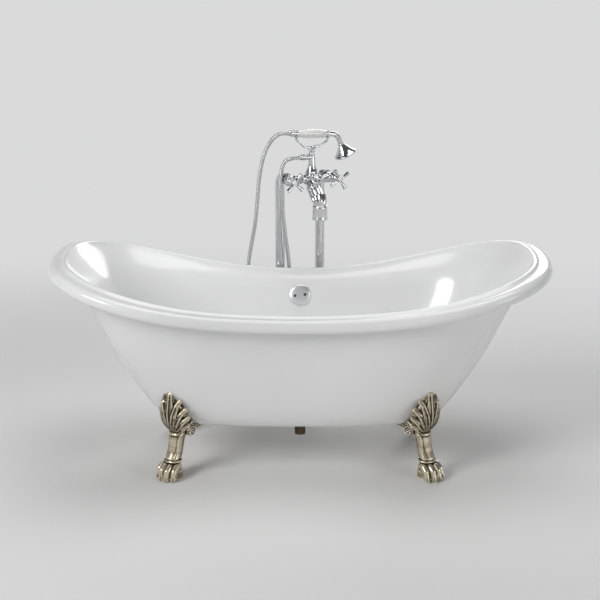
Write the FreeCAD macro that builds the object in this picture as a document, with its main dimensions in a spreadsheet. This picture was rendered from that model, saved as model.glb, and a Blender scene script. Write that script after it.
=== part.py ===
import FreeCAD, Part
import math
import os
import re
import Sketcher
from FreeCAD import Vector

# Double-slipper clawfoot bathtub with a floor-standing bath and shower mixer.
# Millimetres. Z is up, X runs along the tub and the bather's side of the photograph is -Y.
# The origin is on the floor under the middle of the tub.

SIZES = (
    # the tub: basin, skirt and base
    ("tub_length", 1750, "over the rolled rim, end to end"),
    ("tub_width", 728, "over the rolled rim at the middle"),
    ("end_height", 761, "top of the rim at the two ends"),
    ("middle_height", 610, "top of the rim at the middle"),
    ("floor_clearance", 170, "floor to the underside of the skirt"),
    ("base_length", 910, "length of the skirt where its side starts"),
    ("base_width", 356, "width of the skirt where its side starts"),
    ("board_end_inset", 30, "base board inside the skirt's flat base, at the ends"),
    ("board_side_inset", 18, "base board inside the skirt's flat base, at the sides"),
    ("end_squareness", 2.967, "exponent of the oval across the ends"),
    ("side_squareness", 3.005, "exponent of the oval along the sides"),
    ("waist_depth", 0.342, "share by which the shoulders are wider than the middle"),
    ("roll_reach_end", 60.5, "crest of the rim to its outer edge at the ends"),
    ("roll_reach_side", 49.2, "crest of the rim to its outer edge at the sides"),
    ("roll_drop", 50.3, "crest of the rim to its lower edge"),
    ("shell_wall", 8, "wall of the basin"),
    ("skirt_wall", 6, "wall of the skirt"),
    ("board_thickness", 28, "base board, and the cavity between basin and skirt"),
    # the drain
    ("drain_y", 62, "drain centre, towards the back wall"),
    ("drain_radius", 26, "thread of the waste flange"),
    ("drain_wall", 4, "wall of the waste flange's tube"),
    ("drain_depth", 74, "length of the waste flange's tube"),
    ("flange_radius", 36, "waste flange"),
    ("flange_height", 5, "waste flange above its seal"),
    ("seal_thickness", 2, "rubber seals of the waste"),
    ("locknut_radius", 37, "waste locknut across its corners"),
    ("locknut_height", 10, "waste locknut"),
    ("cutout_radius", 42, "opening in the board and skirt round the waste"),
    ("tee_radius", 32, "waste tee body"),
    ("tee_height", 54, "waste tee body"),
    ("tail_radius", 20, "waste outlet pipe"),
    ("tail_length", 46, "waste outlet pipe below the tee"),
    ("tail_step", 0.6, "the waste outlet pipe is thinner where it goes into the tee"),
    ("tail_socket", 14, "depth of the tee's socket for the outlet pipe"),
    ("plug_radius", 23, "pop-up plug cap"),
    ("plug_height", 4, "pop-up plug cap"),
    ("plug_stem", 4, "radius of the plug's stem"),
    ("stem_length", 44, "plug's stem"),
    # the overflow
    ("overflow_height", 529, "centre of the overflow"),
    ("overflow_cover", 40, "radius of the cover"),
    ("cover_height", 7, "cover above the basin wall"),
    ("overflow_hole", 24, "radius of the hole in the basin wall"),
    ("overflow_box", 32, "radius of the box behind the wall"),
    ("box_depth", 19, "depth of the box behind the wall"),
    ("gasket_thickness", 2, "rubber gasket behind the wall"),
    ("wall_bow", 3.6, "how far the curved wall falls away across the overflow box"),
    ("cover_screw_spacing", 38, "between the two screws of the cover"),
    ("cover_screw", 2.5, "radius of the cover's screws"),
    ("overflow_pipe", 8, "outer radius of the overflow pipe"),
    ("pipe_wall", 1.5, "wall of the overflow pipe"),
    # the feet
    ("foot_x", 450, "centre of a sole from the middle, along the tub"),
    ("foot_y", 228, "centre of a sole from the middle, across the tub"),
    ("foot_turn", 53, "direction of the toes from the tub's length, degrees"),
    ("knee_height", 313, "top of the leaf on the foot"),
    ("tongue_width", 44, "bolted tongue of a foot"),
    ("tongue_thickness", 12, "bolted tongue of a foot"),
    ("bolt_reach", 200, "sole centre to the first bolt"),
    ("bolt_pitch", 30, "between the two bolts of a foot"),
    ("bolt_radius", 4, "foot bolt"),
    ("bolt_gap", 0.4, "foot bolt in its holes"),
    ("bolt_head", 7.5, "foot bolt head across its corners"),
    ("bolt_head_height", 5.5, "foot bolt head"),
    ("washer_radius", 9, "foot washer"),
    ("washer_thickness", 1.6, "foot washer"),
    ("insert_radius", 6, "threaded insert in the board"),
    ("insert_flange", 10, "flange of the insert"),
    ("seat_gap", 0.3, "between pieces that rest on curved faces"),
    # the mixer's stand
    ("tap_x", 0, "middle of the two standpipes"),
    ("tap_y", 435, "middle of the two standpipes"),
    ("tap_turn", 25, "turn of the mixer about the vertical, degrees"),
    ("pipe_spacing", 168, "between the standpipes"),
    ("standpipe_radius", 18, "standpipe"),
    ("standpipe_wall", 2, "standpipe"),
    ("elbow_radius", 30, "bend at the top of a standpipe"),
    ("elbow_reach", 56, "standpipe axis to the end of the bend"),
    ("inlet_radius", 9.3, "supply thread in a standpipe's foot"),
    ("inlet_length", 24, "supply thread in a standpipe's foot"),
    ("base_radius", 42, "floor flange"),
    ("base_height", 16, "floor flange"),
    ("base_bolt_circle", 62, "screw circle of a floor flange"),
    ("base_hole", 2.75, "screw hole of a floor flange"),
    ("slip_gap", 0.2, "between a pipe and the ring round it"),
    # the mixer's body
    ("tap_height", 958, "axis of the mixer's body"),
    ("body_reach", 104, "standpipes to the axis of the mixer's body"),
    ("valve_spacing", 186, "between the two valves"),
    ("union_radius", 23, "union nut across its corners"),
    ("union_length", 18, "union nut"),
    ("bar_radius", 14, "bar of the mixer's body"),
    ("chamber_radius", 21, "valve chamber"),
    ("hub_radius", 26, "middle of the mixer's body"),
    ("hub_height", 46, "middle of the mixer's body"),
    ("valve_seat", 17, "radius of a valve's neck"),
    ("seat_length", 26, "chamber centre to the end of a valve's neck"),
    ("bonnet_radius", 15, "valve bonnet"),
    ("bonnet_length", 16, "valve bonnet"),
    ("spindle_radius", 4.5, "valve and diverter spindles"),
    ("spindle_gap", 0.05, "running gap of a spindle"),
    ("handle_hub", 11, "radius of a cross handle's hub"),
    ("handle_depth", 14, "depth of a cross handle's hub"),
    ("handle_reach", 42, "cross handle's axis to the end of an arm"),
    ("arm_radius", 4.6, "cross handle's arm"),
    ("tip_radius", 6.4, "end of a cross handle's arm"),
    ("button_radius", 8, "button on a cross handle"),
    ("button_height", 3, "button on a cross handle"),
    ("knob_radius", 10, "diverter knob"),
    ("knob_length", 15, "diverter knob"),
    ("diverter_lift", 12, "diverter above the body's axis"),
    # the spout
    ("spout_slope", 48, "spout's start below the horizontal, degrees"),
    ("spout_start", 34, "body's axis to the start of the spout"),
    ("spout_root", 28, "radius of the spout where it starts"),
    ("spout_tip", 25, "radius of the spout at its end"),
    ("spout_reach", 175, "standpipes to the spout's outlet"),
    ("spout_end", 869, "height of the spout's end"),
    ("collar_radius", 29, "collar on the spout's end"),
    ("collar_height", 51, "collar on the spout's end"),
    ("aerator_radius", 17, "aerator in the collar"),
    ("aerator_depth", 12, "aerator in the collar"),
    # the cradle
    ("column_base", 24, "radius of the column's foot"),
    ("column_waist", 12.5, "radius of the column"),
    ("column_top", 1072, "height of the column"),
    ("outlet_height", 1042, "axis of the shower outlet"),
    ("outlet_reach", 27, "column's axis to the end of the outlet"),
    ("outlet_radius", 9, "shower outlet"),
    ("yoke_span", 64, "column's axis to a fork, along the handset"),
    ("yoke_radius", 4.6, "arm of the yoke"),
    ("fork_width", 9, "fork of the yoke"),
    ("fork_wall", 3.5, "fork of the yoke"),
    # the handset and its hose
    ("handset_height", 1128, "axis of the handset over the column"),
    ("handset_tilt", 4, "handset's tilt, degrees"),
    ("grip_length", 114, "ceramic grip"),
    ("grip_radius", 16.5, "ceramic grip at its middle"),
    ("grip_end", 12.5, "ceramic grip at its ends"),
    ("ferrule_radius", 13, "ferrules at the grip's ends"),
    ("ferrule_length", 14, "ferrules at the grip's ends"),
    ("neck_radius", 9.5, "neck of the handset"),
    ("neck_reach", 122, "column's axis to the head's apex"),
    ("neck_drop", 34, "handset's axis down to the head's apex"),
    ("head_turn", 29, "head's axis from the vertical, degrees"),
    ("head_radius", 42, "shower head's face"),
    ("head_height", 47, "apex to the face"),
    ("face_height", 5, "spray plate"),
    ("nut_length", 25, "hose nuts"),
    ("nut_radius", 11, "hose nuts"),
    ("hose_radius", 7.5, "shower hose"),
    ("hose_bore", 4.5, "bore of the shower hose"),
    ("rib_height", 0.8, "ribs of the shower hose"),
    ("rib_count", 190, "ribs of the shower hose"),
    ("nut_gap", 0.3, "between the hose and its nuts"),
)

doc = FreeCAD.newDocument("clawfoot_bathtub")
sheet = doc.addObject("Spreadsheet::Sheet", "Sizes")
for row, (alias, number, note) in enumerate(SIZES, start=1):
    sheet.set(f"A{row}", alias)
    sheet.set(f"B{row}", str(number))
    sheet.set(f"C{row}", note)
    sheet.setAlias(f"B{row}", alias)
doc.recompute()

subparts = []


def bound(text):
    """An expression over the sheet, from one that names its cells plainly."""
    return re.sub(r"[a-z]+(?:_[a-z]+)+", r"Sizes.\g<0>", str(text))


def size(text):
    """The present value of an expression over the sheet."""
    found = sheet.evalExpression(bound(text))
    return float(getattr(found, "Value", found))


# ---------------------------------------------------------------- places

LYING = {
    "up": "rotation(vector(0; 0; 1); 0)",
    "down": "rotation(vector(1; 0; 0); 180)",
    "forward": "rotation(vector(1; 0; 0); 90)",
    "left": "rotation(vector(0; 1; 0); -90)",
    "right": "rotation(vector(0; 1; 0); 90)",
}


def at(x, y, z, lies="up"):
    """A place in a frame: its point and the way its own Z axis lies."""
    return f"placement(vector({x}; {y}; {z}); {LYING.get(lies, lies)})"


TAP = "placement(vector(tap_x; tap_y; 0); rotation(vector(0; 0; 1); tap_turn))"
HANDSET = TAP + " * " + at("0", "-body_reach", "handset_height", "rotation(vector(0; 1; 0); handset_tilt)")


def in_tap(right, forward, z, lies="up"):
    """A place in the mixer's frame: right along its body and forward over the tub."""
    return TAP + " * " + at(right, f"-({forward})", z, lies)


def in_handset(right, z="0", lies="right"):
    """A place on the handset's axis."""
    return HANDSET + " * " + at(right, "0", z, lies)


def solid_part(name, obj, place=None):
    """Names a finished sub-part and gives it its place."""
    obj.Label = name
    if place:
        obj.setExpression("Placement", bound(place))
    subparts.append(obj)
    return obj


# ---------------------------------------------------------------- makers

def outline_sketch(body, points):
    """A closed outline of straight lines in the body's XZ plane, each corner bound to the sheet."""
    sketch = body.newObject("Sketcher::SketchObject", "Outline")
    plane = [item for item in body.Origin.OriginFeatures if item.Role == "XZ_Plane"][0]
    sketch.AttachmentSupport = (plane, [""])
    sketch.MapMode = "FlatFace"
    corners = [(size(x), size(y)) for x, y in points]
    count = len(corners)
    for index, corner in enumerate(corners):
        after = corners[(index + 1) % count]
        sketch.addGeometry(Part.LineSegment(Vector(*corner, 0), Vector(*after, 0)), False)
    for index in range(count):
        sketch.addConstraint(Sketcher.Constraint("Coincident", index, 2, (index + 1) % count, 1))
    for index, corner in enumerate(corners):
        for kind, number, text in zip(("DistanceX", "DistanceY"), corner, points[index]):
            made = sketch.addConstraint(Sketcher.Constraint(kind, -1, 1, index, 1, number))
            sketch.setExpression(f"Constraints[{made}]", bound(text))
    return sketch


def lathe(points):
    """A body turned about its own Z axis, from the half outline (radius, height)."""
    body = doc.addObject("PartDesign::Body", "Lathe")
    sketch = outline_sketch(body, points)
    turn = body.newObject("PartDesign::Revolution", "Turned")
    turn.Profile = (sketch, [""])
    turn.ReferenceAxis = (sketch, ["V_Axis"])
    turn.Angle = 360
    return body


def turned(name, points, place):
    return solid_part(name, lathe(points), place)


def ring(name, inner, outer, height, place):
    """A plain ring: pipe, washer or seal."""
    return turned(name, ((inner, "0"), (outer, "0"), (outer, height), (inner, height)), place)


def cylinder(radius, height, place=None):
    obj = doc.addObject("Part::Cylinder", "Cylinder")
    obj.setExpression("Radius", bound(radius))
    obj.setExpression("Height", bound(height))
    if place:
        obj.setExpression("Placement", bound(place))
    return obj


def ball(radius, place=None):
    obj = doc.addObject("Part::Sphere", "Ball")
    obj.setExpression("Radius", bound(radius))
    if place:
        obj.setExpression("Placement", bound(place))
    return obj


def cone(radius, end_radius, height, place=None):
    obj = doc.addObject("Part::Cone", "Cone")
    obj.setExpression("Radius1", bound(radius))
    obj.setExpression("Radius2", bound(end_radius))
    obj.setExpression("Height", bound(height))
    if place:
        obj.setExpression("Placement", bound(place))
    return obj


def prism(corner_radius, height, place=None):
    obj = doc.addObject("Part::Prism", "Hexagon")
    obj.Polygon = 6
    obj.setExpression("Circumradius", bound(corner_radius))
    obj.setExpression("Height", bound(height))
    if place:
        obj.setExpression("Placement", bound(place))
    return obj


def joined(pieces):
    obj = doc.addObject("Part::MultiFuse", "Joined")
    obj.Shapes = pieces
    return obj


def cut(base, tool):
    obj = doc.addObject("Part::Cut", "Drilled")
    obj.Base = base
    obj.Tool = tool
    return obj


def shaped(name, shape, place=None):
    """A sub-part whose form comes from curves or surfaces."""
    obj = doc.addObject("Part::Feature", name)
    obj.Shape = shape
    return solid_part(name, obj, place)


def hex_nut(name, corner_radius, height, bore, place):
    nut = cut(prism(corner_radius, height), cylinder(bore, height))
    return solid_part(name, nut, place)


def biggest(shape):
    return max(shape.Solids, key=lambda solid: solid.Volume)


# ---------------------------------------------------------------- curved walls

RING_POLES = 32
POLE_STEP = 2 * math.pi / RING_POLES
POLE_LIFT = 3 / (2 + math.cos(POLE_STEP))   # a closed cubic passes inside its poles by this much


def signed_power(number, exponent):
    return math.copysign(abs(number) ** exponent, number)


def ridge(share):
    """Rise of the rim from the middle, 0, to the ends, 1, at a share of the half length."""
    hill = (1 - math.cos(math.pi * share)) / 2
    return 0.674 * share ** 2.48 + 0.326 * hill


def waist(share):
    """Widening of the shoulders at a share of the half length."""
    return (1 - math.cos(math.pi * min(1, 1.15 * share))) / 2


def oval(half_length, end_z, half_width, middle_z):
    """One closed row of poles of the tub: an oval with wide shoulders and raised ends."""
    floor = size("floor_clearance")
    shoulder = size("waist_depth") * max(0, (middle_z - floor) / (size("middle_height") - floor))
    poles = []
    for index in range(RING_POLES):
        along = signed_power(math.cos(index * POLE_STEP), 2 / size("end_squareness"))
        across = signed_power(math.sin(index * POLE_STEP), 2 / size("side_squareness"))
        share = abs(along)
        poles.append(Vector(
            half_length * along * POLE_LIFT,
            half_width * across * (1 + shoulder * waist(share)) * POLE_LIFT,
            middle_z + (end_z - middle_z) * ridge(share)))
    return poles


def wall_solid(rows):
    """The solid inside rows of poles, closed round each row and capped flat at its two ends."""
    around = len(rows[0])
    along = len(rows)
    surface = Part.BSplineSurface()
    surface.buildFromPolesMultsKnots(
        [[row[index] for row in rows] for index in range(around)],
        [1] * (around + 1), [4] + [1] * (along - 4) + [4],
        list(range(around + 1)), list(range(along - 2)), True, False, 3, 3)
    skin = surface.toShape()
    ends = [edge for edge in skin.Edges if edge.isClosed() and edge.BoundBox.ZLength < 0.001]
    caps = [Part.Face(Part.Wire([edge])) for edge in ends]
    solid = Part.Solid(Part.Shell([skin] + caps))
    solid.fix(1e-6, 1e-6, 1e-6)
    if solid.Volume < 0:
        solid.reverse()
    return solid


def offset_outline(points, distance):
    """The outline moved to its left by a distance, corner by corner."""
    moved = []
    last = len(points) - 1
    for index, (x, y) in enumerate(points):
        normals = []
        for start, end in ((index - 1, index), (index, index + 1)):
            if 0 <= start and end <= last:
                dx = points[end][0] - points[start][0]
                dy = points[end][1] - points[start][1]
                length = math.hypot(dx, dy)
                normals.append((-dy / length, dx / length))
        nx = sum(normal[0] for normal in normals)
        ny = sum(normal[1] for normal in normals)
        scale = len(normals) / (nx * nx + ny * ny)
        moved.append((x + distance * nx * scale, y + distance * ny * scale))
    return moved


def stations(shares, low, high):
    """Outline points from shares of the way between two corners (reach, height)."""
    return [(low[0] + (high[0] - low[0]) * a, low[1] + (high[1] - low[1]) * b) for a, b in shares]


crest_end = (size("tub_length / 2 - roll_reach_end"), size("end_height"))
crest_side = (size("tub_width / 2 - roll_reach_side"), size("middle_height"))

# the skirt's outline, from the base board's edge up to its top under the rim,
# as shares of its reach and height above where its side starts
SKIRT_END = ((0, 0), (0.105, 0.007), (0.229, 0.109), (0.408, 0.281), (0.565, 0.458), (0.691, 0.63),
             (0.832, 0.827), (0.937, 0.942), (1, 1))
SKIRT_SIDE = ((0, 0), (0.191, 0.028), (0.411, 0.136), (0.553, 0.305), (0.695, 0.516), (0.823, 0.728),
              (0.908, 0.892), (0.965, 0.967), (1, 1))
# the rolled rim, from the basin's wall over the crest to the lip turned under,
# as shares of the roll's reach and drop
ROLL = ((-0.16, -0.29), (-0.09, 0.05), (0.09, 0.065), (0.22, -0.065), (0.40, -0.08), (0.73, -0.05),
        (1, -0.32), (1, -0.77), (0.80, -1), (0.62, -0.97))

rim_inset = size("shell_wall") + 2 * size("skirt_wall")
base = size("floor_clearance")
skirt_end = [(size("base_length / 2 - board_end_inset"), base)] + stations(
    SKIRT_END, (size("base_length / 2"), base), (crest_end[0] + 3, crest_end[1] - rim_inset))
skirt_side = [(size("base_width / 2 - board_side_inset"), base)] + stations(
    SKIRT_SIDE, (size("base_width / 2"), base), (crest_side[0] + 4, crest_side[1] - rim_inset + 4))


def tub_wall(end_outline, side_outline, thickness):
    """A wall of the tub: its face follows two outlines, and its back lies behind at a thickness."""
    end_path = end_outline + offset_outline(end_outline, thickness)[::-1]
    side_path = side_outline + offset_outline(side_outline, thickness)[::-1]
    return wall_solid([oval(a, za, b, zb) for (a, za), (b, zb) in zip(end_path, side_path)])


def roll(crest, reach):
    return [(crest[0] + a * reach, crest[1] + b * size("roll_drop")) for a, b in ROLL]


wall_depth = size("skirt_wall + board_thickness + shell_wall")
basin_end = offset_outline(skirt_end, wall_depth)[:-2] + roll(crest_end, size("roll_reach_end"))
basin_side = offset_outline(skirt_side, wall_depth)[:-2] + roll(crest_side, size("roll_reach_side"))

basin = tub_wall(basin_end, basin_side, -size("shell_wall"))


def wet_face(height):
    """The point of the back wall's inner face at a height, on the tub's middle line."""
    probe = Part.makeLine(Vector(0, 0, height), Vector(0, size("tub_width"), height))
    return Vector(0, min(vertex.Y for vertex in probe.common(basin).Vertexes), height)


# where the overflow goes through the back wall, and the drain through the floor
overflow_point = wet_face(size("overflow_height"))
wall_up = (wet_face(size("overflow_height + overflow_hole")) - wet_face(size("overflow_height - overflow_hole")))
wall_up.normalize()
overflow_normal = Vector(0, -wall_up.z, wall_up.y)
drain = Vector(0, size("drain_y"), 0)
floor_top = base + wall_depth
board_top = floor_top - size("shell_wall")
board_under = base + size("skirt_wall")
basin = basin.cut(Part.makeCylinder(
    size("drain_radius + slip_gap"), wall_depth, drain + Vector(0, 0, floor_top - wall_depth / 2)))
basin = basin.cut(Part.makeCylinder(
    size("overflow_hole"), wall_depth, overflow_point - overflow_normal * wall_depth / 2, overflow_normal))
shaped("basin_shell", biggest(basin))

# the feet's places, and the bolts that hold them to the board
foot_angle = math.radians(size("foot_turn"))
toes = Vector(-math.cos(foot_angle), -math.sin(foot_angle), 0)
sole = Vector(-size("foot_x"), -size("foot_y"), 0)
one_foot_bolts = [sole - toes * (size("bolt_reach") + size("bolt_pitch") * step) for step in (0, 1)]
quarters = [(side, way) for side in (1, -1) for way in (1, -1)]
bolt_points = [Vector(point.x * side, point.y * way, 0) for side, way in quarters for point in one_foot_bolts]


def pegs(radius, bottom, height):
    """Upright cylinders at all the foot bolts."""
    return [Part.makeCylinder(radius, height, point + Vector(0, 0, bottom)) for point in bolt_points]


def straight_and_round(points, radius=None):
    """Straight runs joined by tangent arcs. Without a radius each arc is as large as its runs allow."""
    edges = []
    radii = []
    start = points[0]
    for before, corner, after in zip(points, points[1:], points[2:]):
        into = (corner - before).normalize()
        out = (after - corner).normalize()
        half_turn = into.getAngle(out) / 2
        reach = 0.45 * min((corner - before).Length, (after - corner).Length)
        if radius:
            reach = radius * math.tan(half_turn)
        bend = reach / math.tan(half_turn)
        inward = (out - into).normalize()
        first = corner - into * reach
        last = corner + out * reach
        middle = corner + inward * (bend / math.cos(half_turn) - bend)
        edges.append(Part.LineSegment(start, first).toShape())
        edges.append(Part.Arc(first, middle, last).toShape())
        radii.append(bend)
        start = last
    edges.append(Part.LineSegment(start, points[-1]).toShape())
    return Part.Wire(edges), radii


def swept(points, radius, bend=None):
    """A round bar along straight runs and arcs."""
    wire = straight_and_round(points, bend)[0]
    circle = Part.Wire([Part.makeCircle(radius, points[0], points[1] - points[0])])
    return wire.makePipeShell([circle], True, False)


# the overflow pipe's route: down the cavity, out of the skirt's lower corner and into the waste tee
cavity = offset_outline(skirt_side, size("skirt_wall + board_thickness / 2"))
box_middle = overflow_point - overflow_normal * size("shell_wall + gasket_thickness + seat_gap + wall_bow + box_depth / 2")
tee_inlet = floor_top - size("drain_depth") - size("tee_height") / 4
pipe_route = [
    box_middle - wall_up * size("overflow_box + 8"),
    box_middle - wall_up * size("overflow_box + 36"),
    Vector(0, *cavity[5]),
    Vector(0, *cavity[4]),
    Vector(0, cavity[3][0], base - 2 * size("overflow_pipe")),
    Vector(0, cavity[3][0] - 26, tee_inlet),
    Vector(0, size("drain_y + tee_radius + 12"), tee_inlet),
]
pipe_bend = 4 * size("overflow_pipe")
leaving = [pipe_route[3], pipe_route[4]]

cutout = Part.makeCylinder(size("cutout_radius"), 2 * wall_depth, drain + Vector(0, 0, base - wall_depth / 2))
skirt = tub_wall(skirt_end, skirt_side, size("skirt_wall")).cut(cutout)
skirt = skirt.cut(Part.makeCylinder(
    size("overflow_pipe + 3"), (leaving[1] - leaving[0]).Length, leaving[0], leaving[1] - leaving[0]))
skirt = skirt.cut(pegs(size("bolt_radius + bolt_gap"), base - 5, 20))
shaped("outer_skirt", biggest(skirt))

board_ring = oval(size("base_length / 2 - board_end_inset"), board_under,
                  size("base_width / 2 - board_side_inset"), board_under)
board_edge = Part.BSplineCurve()
board_edge.buildFromPolesMultsKnots(board_ring, [1] * (RING_POLES + 1), list(range(RING_POLES + 1)), True, 3)
board = Part.Face(Part.Wire([board_edge.toShape()])).extrude(Vector(0, 0, size("board_thickness")))
board = board.cut(cutout).cut(pegs(size("insert_radius + bolt_gap / 4"), board_under - 5, 60))
board = board.cut(pegs(size("insert_flange + bolt_gap / 4"), board_top - 2, 10))
shaped("base_board", biggest(board))

# ---------------------------------------------------------------- feet

tongue_under = base - size("tongue_thickness")
# the leg and the leaf over its knee, from the sole up: reach towards the toes, half depth,
# half width and height, the height of the leaf as shares of the way from the tongue to its top
LEG = ((8, 40, 33, 0), (8, 41, 34, 0), (9, 46, 38, 20), (7, 45, 38, 46), (-4, 34, 30, 68), (-24, 25, 22, 90),
       (-31, 22, 21, 116), (-33, 24, 22, 138), (-42, 30, 27, 160), (-46, 28, 26, 172), (-46, 26, 24, 172))
LEAF = ((-62, 26, 24, 0), (-62, 30, 30, 0), (-50, 46, 46, 0.10), (-39, 50, 57, 0.27), (-35, 50, 60, 0.46),
        (-28, 40, 51, 0.65), (-21, 28, 36, 0.82), (-15, 18, 20, 0.95), (-13, 11, 11, 1), (-13, 5, 5, 1))
TOES = ((-27, -24), (-9, -8), (9, 8), (27, 24))
ROW_POLES = 16


def blob(rows):
    """A rounded solid from rows of reach, half depth, half width and height."""
    step = 2 * math.pi / ROW_POLES
    lift = 3 / (2 + math.cos(step))
    return wall_solid([[
        Vector(reach + depth * lift * math.cos(index * step), width * lift * math.sin(index * step), height)
        for index in range(ROW_POLES)] for reach, depth, width, height in rows])


def toe(side, spread):
    """A toe: a round bar that slopes down to a blunt claw."""
    knuckle = Vector(22, side * 0.8, 34)
    claw = Vector(44, side + spread * 0.2, 16)
    bar = Part.makeCylinder(11, (claw - knuckle).Length, knuckle, claw - knuckle)
    return bar.fuse([Part.makeSphere(11, knuckle), Part.makeSphere(11, claw)])


def foot_shape():
    """A foot in its own frame: the sole's centre at the origin, the toes along X."""
    leaf_rise = size("knee_height") - tongue_under
    leg = blob([(x, d, w, z * tongue_under / 158) for x, d, w, z in LEG])
    leaf = blob([(x, d, w, tongue_under + z * leaf_rise) for x, d, w, z in LEAF])
    reach = size("bolt_reach + bolt_pitch + 16")
    tongue = Part.makeBox(reach - 50, size("tongue_width"), size("tongue_thickness"),
                          Vector(-reach, -size("tongue_width / 2"), tongue_under))
    foot = leg.fuse([leaf, tongue] + [toe(*pair) for pair in TOES])
    below = Part.makeBox(400, 400, 100, Vector(-200, -200, -100))
    return foot.cut(below)


seat = tub_wall(offset_outline(skirt_end, -size("seat_gap")), offset_outline(skirt_side, -size("seat_gap")), 60)
foot = foot_shape()
foot.rotate(Vector(0, 0, 0), Vector(0, 0, 1), 180 + size("foot_turn"))
foot.translate(sole)
foot = biggest(foot.cut(seat).cut(pegs(size("bolt_radius + bolt_gap"), tongue_under - 5, 40)))
for name, side, way in (("claw_foot_front_left", 1, 1), ("claw_foot_front_right", -1, 1),
                        ("claw_foot_rear_left", 1, -1), ("claw_foot_rear_right", -1, -1)):
    flipped = foot.copy()
    if side < 0:
        flipped = flipped.mirror(Vector(0, 0, 0), Vector(1, 0, 0))
    if way < 0:
        flipped = flipped.mirror(Vector(0, 0, 0), Vector(0, 1, 0))
    shaped(name, flipped)


def bolt_group(name, makers):
    """The same piece at all eight foot bolts."""
    shaped(name, Part.makeCompound([maker(point) for point in bolt_points for maker in makers]))


def foot_bolt(point):
    washer_under = tongue_under - size("washer_thickness")
    head = Part.makePolygon([
        point + Vector(size("bolt_head") * math.cos(k * math.pi / 3), size("bolt_head") * math.sin(k * math.pi / 3),
                       washer_under - size("bolt_head_height")) for k in range(7)])
    head = Part.Face(head).extrude(Vector(0, 0, size("bolt_head_height")))
    length = board_top - 1 - washer_under
    return head.fuse(Part.makeCylinder(size("bolt_radius"), length, point + Vector(0, 0, washer_under)))


def foot_washer(point):
    bottom = point + Vector(0, 0, tongue_under - size("washer_thickness"))
    disc = Part.makeCylinder(size("washer_radius"), size("washer_thickness"), bottom)
    return disc.cut(Part.makeCylinder(size("bolt_radius + bolt_gap"), size("washer_thickness"), bottom))


def foot_insert(point):
    bottom = point + Vector(0, 0, board_under + 8)
    barrel = Part.makeCylinder(size("insert_radius"), board_top - board_under - 10, bottom)
    flange = Part.makeCylinder(size("insert_flange"), 1.9, point + Vector(0, 0, board_top - 2))
    bore = Part.makeCylinder(size("bolt_radius + bolt_gap / 4"), 60, bottom)
    return barrel.fuse(flange).cut(bore)


bolt_group("foot_bolts", [foot_bolt])
bolt_group("foot_washers", [foot_washer])
bolt_group("foot_inserts", [foot_insert])

# ---------------------------------------------------------------- waste

FLOOR = "(floor_clearance + skirt_wall + board_thickness + shell_wall)"
BORE = "drain_radius - drain_wall"
LEDGE = "seal_thickness + 1"
TEE_TOP = "(18 - drain_depth)"
TEE_BASE = "(18 - drain_depth - tee_height)"


def at_drain(z="0", lies="up"):
    return at("0", "drain_y", f"{FLOOR} + {z}", lies)


turned("waste_flange", (
    (BORE, "-drain_depth"), ("drain_radius", "-drain_depth"), ("drain_radius", "seal_thickness"),
    ("flange_radius", "seal_thickness"), ("flange_radius", "seal_thickness + 1.5"),
    ("flange_radius - 5", "seal_thickness + flange_height"), ("plug_radius + 1", "seal_thickness + flange_height"),
    ("plug_radius + 1", LEDGE), (BORE, LEDGE)), at_drain())
ring("waste_seal_upper", "drain_radius + slip_gap", "flange_radius - 2", "seal_thickness", at_drain())
ring("waste_seal_lower", "drain_radius + slip_gap", "flange_radius", "seal_thickness",
     at_drain("(-shell_wall - seal_thickness)"))
hex_nut("waste_locknut", "locknut_radius", "locknut_height", "drain_radius + slip_gap",
        at_drain("(-shell_wall - seal_thickness - locknut_height)"))

SOCKET = "tail_radius - tail_step + slip_gap"
tee_body = lathe((
    ("drain_radius + slip_gap", TEE_TOP), ("tee_radius", TEE_TOP), ("tee_radius", TEE_BASE + " + 8"),
    ("tail_radius + 5", TEE_BASE), (SOCKET, TEE_BASE), (SOCKET, TEE_BASE + " + tail_socket"),
    ("tail_radius - 4", TEE_BASE + " + tail_socket"), ("tail_radius - 4", TEE_BASE + " + tail_socket + 6"),
    (BORE, TEE_TOP + " - 24"), (BORE, TEE_TOP + " - 18.3"), ("drain_radius + slip_gap", TEE_TOP + " - 18.3")))
INLET = "(-drain_depth - tee_height / 4)"
BACKWARD = "rotation(vector(1; 0; 0); -90)"
tee_arm = cylinder("overflow_pipe + 3", "tee_radius + 16", at("0", "0", INLET, BACKWARD))
tee_core = cylinder("drain_radius", "tee_height", at("0", "0", TEE_BASE))
tee_arm = cut(tee_arm, tee_core)
tee_bore = cylinder("overflow_pipe + slip_gap", "tee_radius + 20", at("0", "0", INLET, BACKWARD))
solid_part("waste_tee", cut(joined([tee_body, tee_arm]), tee_bore), at_drain())
TAIL_TOP = "tail_socket - seat_gap"
turned("waste_tailpiece", (
    ("tail_radius - 2", "0"), ("tail_radius - tail_step", "0"), ("tail_radius - tail_step", "tail_socket"),
    ("tail_radius", "tail_socket"), ("tail_radius", f"{TAIL_TOP} + tail_length"),
    ("tail_radius - 2", f"{TAIL_TOP} + tail_length")), at_drain(f"{TEE_BASE} + {TAIL_TOP}", "down"))

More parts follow.
